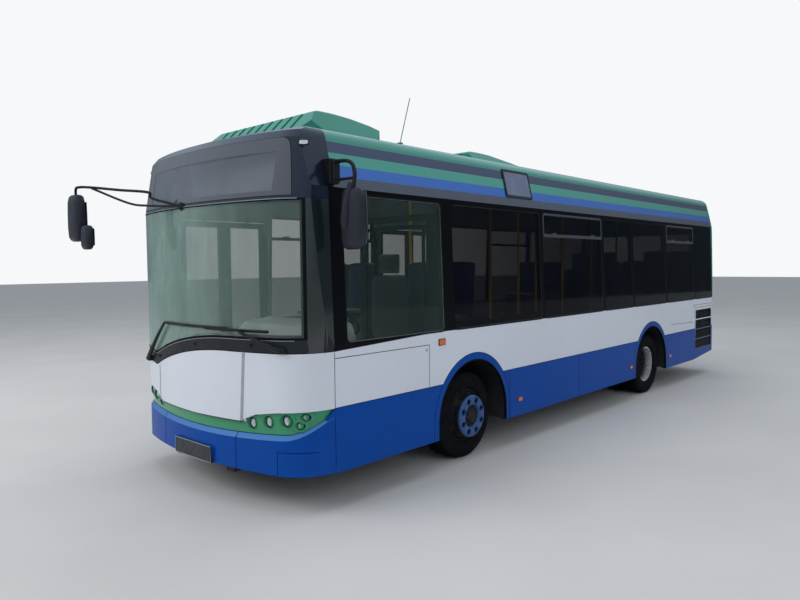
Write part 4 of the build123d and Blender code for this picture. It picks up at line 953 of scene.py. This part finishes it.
corner_points = [(INNER[1], INNER[2]), (INNER[1], INNER[3]), (INNER[0], INNER[3]), (INNER[0], INNER[2])]
dense = [tuple(p) for p in divide([Vector(p) for p in outer + [outer[0]]], 0.02)[:-1]]
inner = [inner_point(u, v) for u, v in dense]
for cu, cv in corner_points:
    near = min(range(len(inner)), key=lambda i: (inner[i][0] - cu) ** 2 + (inner[i][1] - cv) ** 2)
    inner[near] = (cu, cv)
frame_pane = Shape()
frame_pane.rings([[on_front(u, v, -0.004) for u, v in dense]]
                 + [[on_front(a[0] + (b[0] - a[0]) * k / 12, a[1] + (b[1] - a[1]) * k / 12, 0.0018)
                     for a, b in zip(dense, inner)] for k in range(13)]
                 + [[on_front(u, v, -0.001) for u, v in inner]])
piece("display_border", frame_pane, "border", smooth=40)
surround = Shape()
ribbon(surround, on_front, outer, seal(0.0065, 0.0014), closed=True)
piece("display_seams", surround, "rubber_trim")
trim = Shape()
ribbon(trim, on_front, [(i * 0.05 - 1.10, 2.3265) for i in range(45)], seal(0.008, 0.0040), step=0.05)
piece("screen_top_line", trim, "chrome_soft")

# Lamps on the corners of the cap, at the sides and at the rear
bases, glows = Shape(), Shape()
for side in (-1, 1):
    outline = rounded(1.0755, 1.1245, 2.708, 2.748, 0.009)
    panel(bases, on_front, [(side * u, v) for u, v in outline], 0.015, sink=0.006)
    outline = rounded(1.0800, 1.1200, 2.714, 2.742, 0.008)
    panel(glows, on_front, [(side * u, v) for u, v in outline], 0.023, sink=-0.012)
piece("cap_lamp_bases", bases, "trim", smooth=30, instead=("marker_lamps",))
piece("cap_lamp_lenses", glows, "lens_white", smooth=50)
bases, glows = Shape(), Shape()
for surface in (on_left, on_right):
    for place in (0.780, 3.504, 4.886):
        y = AXLE_FRONT + place
        panel(bases, surface, rounded(y - 0.044, y + 0.044, 0.433, 0.479, 0.010), 0.0030)
        panel(glows, surface, rounded(y - 0.036, y + 0.036, 0.437, 0.475, 0.014), 0.0078)
    y = AXLE_FRONT - 0.489
    panel(bases, surface, rounded(y - 0.050, y + 0.050, 1.130, 1.190, 0.010), 0.0030)
    panel(glows, surface, rounded(y - 0.044, y + 0.044, 1.135, 1.185, 0.018), 0.0098)
piece("side_lamp_bases", bases, "trim", smooth=30)
piece("side_lamp_lenses", glows, "lens_amber", smooth=40)
bezels = Shape()
REAR_LAMPS = [(0.760, "lens_white"), (0.900, "lens_red"), (1.040, "lens_amber"), (1.180, "lens_red")]
BEZEL = [(-0.020, 0.0517), (0.001, 0.0517), (0.0050, 0.0500), (0.0052, 0.0462), (0.0010, 0.0440)]
DOME = [(-0.002, 0.0438), (0.0040, 0.0400), (0.0085, 0.0280), (0.0102, 0.0120), (0.0104, 0.0004)]
for row, (z, key) in enumerate(REAR_LAMPS):
    dome = Shape()
    for side in (-1, 1):
        at = (side * 1.010, REAR, z)
        bezels.lathe(BEZEL, at, "Y", 40)
        dome.lathe(DOME, at, "Y", 40)
    piece(f"rear_lamp_lens_{row}", dome, key, smooth=50)
piece("rear_lamp_bezels", bezels, "trim", smooth=40)

# Side windows, measured back from the front axle: (start, end, 1 where a top light opens)
WINDOWS_LEFT = [(-1.626, -0.440, 0), (-0.300, 1.240, 0), (1.280, 2.690, 1), (2.730, 3.575, 0),
                (3.610, 4.730, 0), (4.765, 5.900, 1), (5.935, 6.722, 0)]
WINDOWS_RIGHT = [(-0.590, 1.020, 1), (2.380, 3.575, 0), (3.610, 4.730, 1), (4.765, 5.900, 0),
                 (5.935, 6.722, 0)]

# Seams, flaps and locks of the side panels: (measured back from the front axle, z)
SEAMS_LEFT = [
    [(-1.750, 1.153), (-0.662, 1.151), (-0.662, 0.787)], [(-1.7555, 0.330), (-1.7555, 1.196)],
    [(0.590, 0.780), (0.590, 0.290)], [(2.060, 0.780), (2.060, 0.290)], [(5.905, 1.156), (5.905, 0.320)],
    [(4.935, 0.918), (5.800, 0.892)], [(5.833, 1.158), (6.720, 1.158)], [(5.910, 1.118), (6.720, 1.118)],
]
SEAMS_RIGHT = [
    [(-0.600, 1.153), (-0.600, 0.787)], [(-1.7555, 0.330), (-1.7555, 1.196)], [(0.720, 0.780), (0.720, 0.290)],
    [(0.720, 1.153), (1.040, 1.153)], [(2.360, 1.153), (3.480, 1.153), (3.480, 0.870)],
    [(4.935, 1.158), (6.720, 1.158)], [(5.905, 1.156), (5.905, 0.320)],
]
lines, locks = Shape(), Shape()
for surface, rows in ((on_left, SEAMS_LEFT), (on_right, SEAMS_RIGHT)):
    for row in rows:
        ribbon(lines, surface, [(AXLE_FRONT + y, z) for y, z in row], seal(0.0055, 0.0006, 0.002), step=0.5)
for surface, place, z in ((on_left, 5.776, 0.905), (on_left, -0.700, 1.110), (on_right, 3.440, 1.120),
                          (on_left, 6.660, 1.138), (on_right, 6.660, 1.180)):
    y = AXLE_FRONT + place
    panel(locks, surface, [(y + 0.011 * c, z + 0.011 * d) for c, d in turn(18)], 0.003, rows=3)
piece("side_seams", lines, "rubber_trim")
piece("flap_locks", locks, "chrome_soft", smooth=40)

# Lips of the wheel arches
ARCH_Z = 0.421
LIP_R = 0.5265
lips = Shape()
for surface in (on_left, on_right):
    for axle in (AXLE_FRONT, AXLE_REAR):
        angles = [math.radians(a) for a in range(0, 181, 5)]
        arc = [(axle + LIP_R * math.cos(a), ARCH_Z + LIP_R * math.sin(a)) for a in angles]
        path = [(axle + LIP_R, 0.290)] + arc + [(axle - LIP_R, 0.290)]
        ribbon(lips, surface, path, seal(0.013, 0.0035, 0.020), step=0.2)
piece("arch_lips", lips, "rubber_trim", smooth=50)

# Windows: rubber round each pane, frames of the opening top lights
PANE_Z = (1.253, 2.385)
HOPPER_BAR = [(-0.013, -0.003), (-0.013, 0.003), (-0.008, 0.0055), (0.006, 0.0055), (0.010, 0.003),
              (0.010, -0.003)]
rubbers, hoppers = Shape(), Shape()
for surface, windows in ((on_left, WINDOWS_LEFT), (on_right, WINDOWS_RIGHT)):
    for start, end, light in windows:
        y0, y1 = AXLE_FRONT + start, AXLE_FRONT + end
        ribbon(rubbers, surface, rounded(y0, y1, *PANE_Z, 0.045), seal(0.012, 0.0012, 0.003), closed=True,
               step=0.3)
        if light:
            ribbon(hoppers, surface, rounded(y0 + 0.020, y1 - 0.020, 2.150, 2.370, 0.030), HOPPER_BAR,
                   closed=True, step=0.3)
            ribbon(hoppers, surface, [(y0 + 0.008, 2.133), (y1 - 0.008, 2.133)], seal(0.014, 0.003), step=0.5)
            for y in (y0 + 0.25, y1 - 0.25):
                ribbon(hoppers, surface, [(y - 0.045, 2.166), (y + 0.045, 2.166)], seal(0.016, 0.009),
                       step=0.5)
piece("window_rubbers", rubbers, "rubber_trim", smooth=50)
piece("hopper_bars", hoppers, "frame_grey", smooth=50)
ribbon_rear = Shape()
ribbon(ribbon_rear, on_rear, rounded(-0.880, 0.880, 1.560, 2.330, 0.030), seal(0.016, 0.0020, 0.003),
       closed=True, step=0.3)
piece("rear_window_rubber", ribbon_rear, "rubber_trim", smooth=50)

# Side sign: frame round the blank screen
frame_line = Shape()
y0, y1 = AXLE_FRONT + 0.630, AXLE_FRONT + 1.117
ribbon(frame_line, on_left, rounded(y0 + 0.006, y1 - 0.006, 2.518, 2.790, 0.012),
       seal(0.016, 0.0105, -0.004), closed=True, step=0.3)
piece("side_sign_frame", frame_line, "trim", smooth=50)
screen = Shape()
panel(screen, on_left, rounded(y0 + 0.026, y1 - 0.026, 2.538, 2.770, 0.006), 0.0088, sink=-0.006, rows=3)
piece("side_sign_screen", screen, "sign_screen")

# Front: windscreen washer jets, black line under the middle flap
washers = Shape()
for x in (-0.62, 0.05, 0.72):
    at = on_front(x, dip_z(x) + 0.055, 0.004)
    washers.lathe([(0.000, 0.0110), (-0.006, 0.0100), (-0.010, 0.0060), (-0.011, 0.0004)], at, "Y", 16)
piece("washer_jets", washers, "trim", smooth=50)
gap = Shape()
ribbon(gap, on_front, [(x, 0.6690 + 0.0117 * (abs(x) / 0.585)) for x in (-0.60, -0.3, 0.0, 0.3, 0.60)],
       seal(0.012, -0.003, 0.016))
piece("flap_gap", gap, "trim")

# Wipers: (pivot x, z, arm's tip x, z, blade from x, to x)
WIPERS = [(-0.8856, 1.015, -0.4332, 1.362, -0.4488, 0.474), (1.0008, 1.228, 0.5916, 1.368, 0.2148, 0.8904)]
ARM_RADII = [0.0190, 0.0185, 0.0175, 0.0165, 0.0150, 0.0138, 0.0126, 0.0115, 0.0105]
BLADE = [(-0.004, 0.0035), (-0.011, 0.013), (0.011, 0.013), (0.004, 0.0035)]
wiper_parts = Shape()
for px, pz, tx, tz, b0, b1 in WIPERS:
    bz = BELT + (0.120 if px < 0 else 0.112)
    arm = [on_front(px + (tx - px) * k / 8, pz + (tz - pz) * k / 8, 0.034 - 0.004 * k / 8) for k in range(9)]
    wiper_parts.tube(arm, ARM_RADII, 12)
    blade_x = [b0 + (b1 - b0) * k / 16 for k in range(17)]
    wiper_parts.tube([on_front(x, bz + 0.004, 0.016) for x in blade_x], 0.0085, 8)
    ribbon(wiper_parts, on_front, [(x, bz) for x in blade_x], BLADE, step=0.08)
    at = on_front(px, pz, 0.020)
    wiper_parts.lathe([(0.018, 0.0250), (-0.010, 0.0240), (-0.020, 0.0180), (-0.024, 0.0100),
                       (-0.0245, 0.0004)], at, "Y", 24)
piece("wiper_sets", wiper_parts, "trim", smooth=50, instead=("wipers",))


def head(shape, rows, power=3.2, steps=28):
    """Loft over rows (z, x, y, half width, half depth)."""
    rings = []
    for z, x, y, w, d in rows:
        ring = []
        for c, q in turn(steps):
            ring.append((x + w * math.copysign(abs(c) ** (2 / power), c),
                         y + d * math.copysign(abs(q) ** (2 / power), q), z))
        rings.append(ring)
    return shape.rings(rings, caps=(True, True))


# Mirrors: lofted heads, glass, bent tubes. Driver's side first
MIRROR_Y = AXLE_FRONT - 1.735
heads, glasses, tubes, fairing = Shape(), Shape(), Shape(), Shape()
rows = [(1.957, 1.392, 0.050, 0.024), (1.968, 1.393, 0.074, 0.034), (1.990, 1.395, 0.092, 0.042),
        (2.030, 1.398, 0.102, 0.046), (2.120, 1.400, 0.1065, 0.0475), (2.260, 1.401, 0.1050, 0.0470),
        (2.330, 1.402, 0.1000, 0.045), (2.368, 1.403, 0.090, 0.040), (2.386, 1.403, 0.074, 0.032),
        (2.394, 1.403, 0.050, 0.022)]
head(heads, [(z, x, MIRROR_Y, w, d) for z, x, w, d in rows])
head(glasses, [(z, x, MIRROR_Y + 0.0445, w * 0.90, 0.004) for z, x, w, d in rows[2:-2]], 4.0)
fair = smooth_path([(x, MIRROR_Y - y, z) for x, y, z in (
    (1.352, 0.030, 2.060), (1.356, 0.041, 2.14), (1.368, 0.040, 2.26), (1.386, 0.030, 2.36),
    (1.402, 0.016, 2.43))])
radii = [0.034 * min(1.0, 0.25 + 3.2 * k / len(fair)) * (1 - 0.35 * max(0, k / len(fair) - 0.4) / 0.6)
         for k in range(len(fair))]
fairing.tube(fair, radii, 20)
arm = smooth_path([(x, MIRROR_Y - y, z) for x, y, z in (
    (1.125, 0, 2.598), (1.25, 0, 2.600), (1.345, 0, 2.592), (1.397, 0, 2.562), (1.418, 0, 2.505),
    (1.416, 0.002, 2.44), (1.408, 0.006, 2.38))])
tubes.tube(arm, 0.0145, 14)
tubes.tube([(1.14, MIRROR_Y, 2.466), (1.405, MIRROR_Y, 2.466)], 0.0105, 14)
bracket = Shape()
bracket.box(1.085, 1.205, MIRROR_Y - 0.042, MIRROR_Y + 0.052, 2.440, 2.625)
bracket.box(1.200, 1.232, MIRROR_Y - 0.030, MIRROR_Y + 0.036, 2.448, 2.612)

# Kerb side: a tall head and a small one beside it, as rows (z, half width, half depth)
HX, HY = 1.335, FRONT - 0.334
SMALL_X = -HX + 0.185
tall = [(2.079, 0.050, 0.024), (2.092, 0.082, 0.040), (2.120, 0.104, 0.050), (2.200, 0.112, 0.054),
        (2.320, 0.112, 0.054), (2.430, 0.106, 0.052), (2.478, 0.092, 0.044), (2.494, 0.066, 0.030)]
head(heads, [(z, -HX, HY, w, d) for z, w, d in tall])
head(glasses, [(z, -HX, HY + 0.0515, w * 0.9, 0.004) for z, w, d in tall[2:-2]], 4.0)
small = [(2.004, 0.036, 0.018), (2.014, 0.060, 0.030), (2.040, 0.073, 0.038), (2.120, 0.075, 0.040),
         (2.190, 0.070, 0.038), (2.210, 0.056, 0.030), (2.217, 0.036, 0.018)]
head(heads, [(z, SMALL_X, HY + 0.010, w, d) for z, w, d in small])
head(glasses, [(z, SMALL_X, HY + 0.010 + 0.038, w * 0.88, 0.003) for z, w, d in small[2:-2]], 3.0)
ROOT = (-0.1056, FRONT + 0.002, 2.334)
top_arm = [ROOT, (-0.444, FRONT - 0.075, 2.420), (-0.480, FRONT - 0.088, 2.470),
           (-0.800, FRONT - 0.180, 2.508), (-1.145, FRONT - 0.275, 2.552), (-1.290, HY + 0.01, 2.562),
           (-HX, HY, 2.545), (-HX, HY, 2.46)]
tubes.tube(smooth_path(top_arm, 6), 0.0118, 12)
low_arm = [ROOT, (-0.473, FRONT - 0.092, 2.358), (-0.696, FRONT - 0.160, 2.392),
           (-1.145, FRONT - 0.274, 2.545)]
tubes.tube(smooth_path(low_arm, 6), 0.0098, 12)
stay = [(-HX - 0.085, HY + 0.02, 2.455), (-HX - 0.107, HY + 0.022, 2.40), (-HX - 0.104, HY + 0.022, 2.25)]
tubes.tube(stay, 0.006, 10)
tubes.tube([(-HX + 0.06, HY + 0.010, 2.170), (-HX + 0.160, HY + 0.010, 2.170)], 0.0135, 12)
foot = Shape()
foot.lathe([(-0.010, 0.0004), (-0.010, 0.016), (-0.006, 0.027), (0.004, 0.0335), (0.020, 0.034)],
           (ROOT[0], FRONT - 0.012, ROOT[2]), "Y", 28)
piece("mirror_heads", heads, "mirror", smooth=50, instead=("mirrors",))
piece("mirror_glass", glasses, "mirror_face", smooth=60)
piece("mirror_fairing", fairing, "mirror", smooth=60)
piece("mirror_arms", tubes, "trim", smooth=60)
piece("mirror_bracket", bracket, "trim", bevel=0.010)
piece("mirror_foot", foot, "trim", smooth=50)

# Seats: padded cushions and backs on shells, with steel legs and grab bars
AISLE, INSIDE = 0.240, 1.100
HOUSE_TOP = ARCH_Z + 0.528 + 0.020
# Rows: (place measured back from the front axle, height of what they stand on, side)
SEAT_ROWS = [(-0.060, HOUSE_TOP, 1), (-0.060, HOUSE_TOP, -1), (0.900, 0.340, 1), (1.650, 0.340, 1),
             (2.400, 0.340, 1), (4.140, HOUSE_TOP, 1), (4.140, HOUSE_TOP, -1), (4.980, 0.850, 1),
             (4.980, 0.850, -1), (6.000, 1.130, 1), (6.000, 1.130, -1)]


def pad_mesh(name, width, depth, thick, channels, key, crown=0.35):
    """Pad lying in x and y, its crowned side up: sides pull in, seams and sewn channels stay low.

    It is two sheets that do not meet: the lower one is 1.5% smaller, so the rim is open all round.
    """
    n = 18
    verts, faces = [], []

    def at(i, j, top):
        u, v = 2 * i / n - 1, 2 * j / n - 1
        pull = 1 - 0.035 * (1 - v * v) * abs(u) ** 3
        pull_v = 1 - 0.035 * (1 - u * u) * abs(v) ** 3
        x = width / 2 * u * math.sqrt(1 - 0.16 * v * v * v * v) * pull
        y = depth / 2 * v * math.sqrt(1 - 0.16 * u * u * u * u) * pull_v
        dome = ((1 - abs(u) ** 5) * (1 - abs(v) ** 5)) ** 0.45
        if not top:
            return (x * 0.985, y * 0.985, -thick * 0.30 * dome)
        rise = thick * (0.55 + crown * 0.45 * (1 - u * u) * (1 - v * v)) * dome
        for c in channels:
            rise -= thick * 0.16 * math.exp(-((v - c) / 0.035) ** 2) * (1 - abs(u) ** 6)
        for c in (-0.72, 0.72):
            rise -= thick * 0.10 * math.exp(-((u - c) / 0.035) ** 2) * (1 - abs(v) ** 6)
        return (x, y, rise)

    for top in (True, False):
        for j in range(n + 1):
            for i in range(n + 1):
                verts.append(at(i, j, top))
    base = (n + 1) * (n + 1)
    for j in range(n):
        for i in range(n):
            a = j * (n + 1) + i
            faces.append((a, a + 1, a + n + 2, a + n + 1))
            faces.append((base + a, base + a + n + 1, base + a + n + 2, base + a + 1))
    mesh = bpy.data.meshes.new(name)
    mesh.from_pydata(verts, [], faces)
    work = bmesh.new()
    work.from_mesh(mesh)
    bmesh.ops.remove_doubles(work, verts=work.verts, dist=4e-4)
    bmesh.ops.recalc_face_normals(work, faces=work.faces)
    work.to_mesh(mesh)
    work.free()
    mesh.materials.append(look[key])
    mesh.shade_smooth()
    return mesh


def press(mesh, cap):
    """Run a pad as cloth under pressure, no point moving past the cap and hidden ones less.

    With its rim open the pad does not fill: the two sheets move towards each other.
    """
    scene = bpy.context.scene
    trial = bpy.data.objects.new("pad_trial", mesh.copy())
    scene.collection.objects.link(trial)
    fabric = trial.modifiers.new("fabric", "CLOTH")
    fabric.settings.quality = 6
    fabric.settings.use_pressure = True
    fabric.settings.uniform_pressure_force = 4.0
    fabric.settings.effector_weights.gravity = 0.0
    fabric.point_cache.frame_start = 1
    fabric.point_cache.frame_end = 20
    for step in range(1, 21):
        scene.frame_set(step)
    pressed = trial.evaluated_get(bpy.context.evaluated_depsgraph_get()).to_mesh()
    for point, target in zip(mesh.vertices, pressed.vertices):
        move = target.co - point.co
        limit = cap if point.co.z > 0 else 0.3 * cap
        if move.length > limit:
            move *= limit / move.length
        point.co += move
    trial.to_mesh_clear()
    spare = trial.data
    bpy.data.objects.remove(trial)
    bpy.data.meshes.remove(spare)
    scene.frame_set(1)
    return mesh


def pad(name, mesh, matrix, instead=()):
    """Lay a copy of a pad mesh in its place on the body, made finer once."""
    data = mesh.copy()
    data.transform(matrix)
    obj = bpy.data.objects.new(name, data)
    bpy.context.scene.collection.objects.link(obj)
    finer = obj.modifiers.new("finer", "SUBSURF")
    finer.levels = finer.render_levels = 1
    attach(obj, "body")
    if instead:
        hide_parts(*instead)


cushion_mesh = press(pad_mesh("cushion_mesh", 0.396, 0.396, 0.070, (-0.45, 0.15, 0.62), "seat"), 0.008)
back_mesh = press(pad_mesh("back_mesh", 0.386, 0.464, 0.048, (-0.55, -0.05, 0.42), "seat"), 0.006)
SHELL = [(-0.205, 0.330), (-0.200, 0.343), (0.0, 0.335), (0.160, 0.336), (0.190, 0.372), (0.206, 0.50),
         (0.216, 0.78), (0.219, 0.885), (0.212, 0.899), (0.200, 0.893), (0.192, 0.78), (0.180, 0.50),
         (0.172, 0.400), (0.150, 0.366), (-0.195, 0.362)]
SHELL_STEPS = 8
shells, legs, bars = Shape(), Shape(), Shape()
for row, (place_y, base, side) in enumerate(SEAT_ROWS):
    y = AXLE_FRONT + place_y
    for half in (0, 1):
        cx = side * (AISLE + 0.215 + half * 0.430)
        seat_z = base + 0.352
        lay = Matrix.Translation((cx, y - 0.012, seat_z + 0.012)) @ Matrix.Rotation(math.radians(-3), 4, "X")
        pad(f"cushion_{row}_{half}", cushion_mesh, lay,
            instead=("passenger_seats",) if row == 0 and half == 0 else ())
        stand = Matrix.Translation((cx, y + 0.184, base + 0.640)) @ Matrix.Rotation(math.radians(88), 4, "X")
        pad(f"back_{row}_{half}", back_mesh, stand)
        x0, x1 = cx - 0.207, cx + 0.207
        rings = []
        for k in range(SHELL_STEPS + 1):
            t = k / SHELL_STEPS
            edge = 1 - 0.06 * abs(2 * t - 1) ** 4
            rings.append([(x0 + (x1 - x0) * t, y + py,
                           base + (pz if pz < 0.6 else 0.6 + (pz - 0.6) * (edge if pz > 0.8 else 1)))
                          for py, pz in SHELL])
        shells.rings(rings, caps=(True, True))
    for dx in (-0.150, 0.150):
        cx = side * (AISLE + 0.430) + dx
        legs.tube([(cx, y - 0.06, base + 0.002), (cx, y - 0.05, base + 0.332)], 0.020, 12)
        legs.tube([(cx, y + 0.10, base + 0.002), (cx, y + 0.10, base + 0.332)], 0.020, 12)
    legs.box(side * (AISLE + 0.03), side * (INSIDE - 0.03), y - 0.065, y - 0.030, base + 0.300, base + 0.331)
    legs.box(side * (AISLE + 0.03), side * (INSIDE - 0.03), y + 0.085, y + 0.115, base + 0.300, base + 0.331)
    gx = side * (AISLE + 0.012)
    grip = [(gx, y + 0.206, base + 0.70), (gx, y + 0.216, base + 0.83),
            (gx + side * 0.012, y + 0.212, base + 0.884), (gx + side * 0.05, y + 0.206, base + 0.888)]
    bars.tube(smooth_path(grip), 0.010, 10)
piece("seat_shells", shells, "seat_shell", bevel=0.004, smooth=40)
piece("seat_legs", legs, "steel", smooth=50)
piece("seat_grab_bars", bars, "rail", smooth=60)

# Driver's seat
SEAT_X = 0.710
DRIVER_Y = AXLE_FRONT - 0.870
CAB_Z = 0.640
d_cushion = press(pad_mesh("driver_cushion_mesh", 0.476, 0.464, 0.100, (-0.3, 0.5), "seat_dark"), 0.010)
d_back = press(pad_mesh("driver_back_mesh", 0.466, 0.612, 0.104, (-0.35, 0.25), "seat_dark"), 0.010)
d_head = press(pad_mesh("driver_head_mesh", 0.256, 0.182, 0.082, (), "seat_dark"), 0.006)
pad("driver_cushion", d_cushion, Matrix.Translation((SEAT_X, DRIVER_Y - 0.010, CAB_Z + 0.462))
    @ Matrix.Rotation(math.radians(-3), 4, "X"), instead=("driver_seat",))
pad("driver_back", d_back, Matrix.Translation((SEAT_X, DRIVER_Y + 0.236, CAB_Z + 0.815))
    @ Matrix.Rotation(math.radians(88), 4, "X"))
pad("driver_head", d_head, Matrix.Translation((SEAT_X, DRIVER_Y + 0.236, CAB_Z + 1.213))
    @ Matrix.Rotation(math.radians(89), 4, "X"))
base = Shape()
base.box(SEAT_X - 0.190, SEAT_X + 0.190, DRIVER_Y - 0.170, DRIVER_Y + 0.170, CAB_Z + 0.385, CAB_Z + 0.430)
base.box(SEAT_X - 0.105, SEAT_X + 0.105, DRIVER_Y - 0.115, DRIVER_Y + 0.115, CAB_Z + 0.001, CAB_Z + 0.060)
for k in range(7):
    grow = 0.012 if k % 2 else 0.0
    base.box(SEAT_X - 0.095 - grow, SEAT_X + 0.095 + grow, DRIVER_Y - 0.095 - grow, DRIVER_Y + 0.095 + grow,
             CAB_Z + 0.060 + k * 0.0465, CAB_Z + 0.060 + (k + 1) * 0.0465)
for sx in (-1, 1):
    base.box(SEAT_X + sx * 0.232, SEAT_X + sx * 0.239, DRIVER_Y + 0.19, DRIVER_Y + 0.27,
             CAB_Z + 0.45, CAB_Z + 0.60)
piece("driver_seat_base", base, "trim", bevel=0.008)

# Cab: black rounded frames of the partition behind the driver
hoops = Shape()
for x in (0.300, 1.020):
    loop = [(x, y, z) for y, z in rounded(AXLE_FRONT - 0.520, AXLE_FRONT - 0.400, 1.000, 2.180, 0.055)]
    hoops.tube(loop + [loop[0]], 0.016, 10)
across = [(1.020, 1.000), (1.020, 2.060), (0.960, 2.180), (0.360, 2.180), (0.300, 2.060), (0.300, 1.000)]
hoops.tube(smooth_path([(x, AXLE_FRONT - 0.400, z) for x, z in across], 5), 0.022, 12)
piece("cab_frame", hoops, "frame_black_paint", smooth=60)

# Camera, fitted to the photograph's view with the wheelbase held at the 4.20 m of the CAD
yaw, pitch, roll = 0.7413, -0.0531, -0.0095
forward = Vector((-math.sin(yaw) * math.cos(pitch), math.cos(yaw) * math.cos(pitch), math.sin(pitch)))
right = Vector((math.cos(yaw), math.sin(yaw), 0))
up = right.cross(forward)
right_rolled = math.cos(roll) * right + math.sin(roll) * up
up_rolled = math.cos(roll) * up - math.sin(roll) * right
camera_data = bpy.data.cameras.new("camera")
camera = bpy.data.objects.new("camera", camera_data)
bpy.context.scene.collection.objects.link(camera)
camera_data.lens = 29.89
camera_data.sensor_width = 36
camera_data.clip_end = 300
camera.matrix_world = Matrix.Translation((4.8635, -7.1410, 1.8439)) @ Matrix(
    (right_rolled, up_rolled, -forward)).transposed().to_4x4()
bpy.context.scene.camera = camera


def area_light(name, place, aim, size, power, colour=(1, 1, 1)):
    """Soft rectangular lamp that polished surfaces don't mirror."""
    data = bpy.data.lights.new(name, "AREA")
    data.shape = "RECTANGLE"
    data.size, data.size_y = size
    data.energy = power
    data.color = colour
    lamp = bpy.data.objects.new(name, data)
    bpy.context.scene.collection.objects.link(lamp)
    lamp.location = place
    lamp.rotation_euler = (Vector(aim) - Vector(place)).to_track_quat("-Z", "Y").to_euler()
    lamp.visible_glossy = False


area_light("key", (-7, -15, 10), (0, -3, 1), (12, 8), 1250, (1.0, 0.98, 0.95))
area_light("fill", (14, -5, 8), (0, 0, 1), (14, 8), 420, (0.93, 0.97, 1.0))
area_light("top", (0, 1, 13), (0, 0, 0), (10, 16), 620)

# World: a pale background for the camera, a soft sky to mirror, an even light for the rest
world = bpy.data.worlds.new("studio")
bpy.context.scene.world = world
world.use_nodes = True
sky = Nodes(world.node_tree)
sky.tree.nodes.clear()


def background(colour, strength):
    """Light of one colour and strength, each a value or a socket."""
    node = sky.add("ShaderNodeBackground")
    sky.feed(colour, node.inputs["Color"])
    sky.feed(strength, node.inputs["Strength"])
    return node.outputs[0]


def blend(share, a, b):
    """Mix two lights by a socket: a where it is 0, b where it is 1."""
    node = sky.add("ShaderNodeMixShader")
    for value, socket in zip((share, a, b), node.inputs):
        sky.link(value, socket)
    return node.outputs[0]


rays = sky.add("ShaderNodeLightPath").outputs
seen = sky.math("MAXIMUM", rays["Is Camera Ray"], rays["Is Transmission Ray"])
split = sky.add("ShaderNodeSeparateXYZ")
sky.link(sky.add("ShaderNodeTexCoord").outputs["Generated"], split.inputs[0])
tones = sky.add("ShaderNodeValToRGB")
sky.link(split.outputs["Z"], tones.inputs["Fac"])
low_tone, high_tone = tones.color_ramp.elements
low_tone.color = (0.34, 0.40, 0.48, 1)
high_tone.position = 0.55
high_tone.color = (0.70, 0.84, 1.0, 1)
ahead = sky.ramp(split.outputs["Y"], -0.5, 0.35, 0.95, 0.16, smooth=False)
above = sky.ramp(split.outputs["Z"], 0.12, 0.50, 0.16, 1.0, smooth=False)
mirrored = background(tones.outputs["Color"], sky.math("MAXIMUM", ahead, above))
ambient = background((0.93, 0.96, 1.0, 1), 0.42)
shown = background((0.93, 0.94, 0.95, 1), 1.0)
light = blend(seen, blend(rays["Is Glossy Ray"], ambient, mirrored), shown)
sky.link(light, sky.add("ShaderNodeOutputWorld").inputs["Surface"])

bpy.ops.mesh.primitive_plane_add(size=160, location=(0, 0, 0))
floor = bpy.context.object
floor.name = "studio_floor"
s = Surface("studio_floor")
s.set(colour=s.mix(s.ramp(s.noise(0.6, 4, 0.5), 0.3, 0.7), (0.60, 0.61, 0.62, 1), (0.64, 0.65, 0.66, 1)),
      rough=0.8, normal=s.bump(s.noise(60, 3, 0.5), 0.08, 0.002))
floor.data.materials.append(s.material)
floor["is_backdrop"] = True

bpy.context.scene.view_settings.view_transform = "Standard"
low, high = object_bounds()
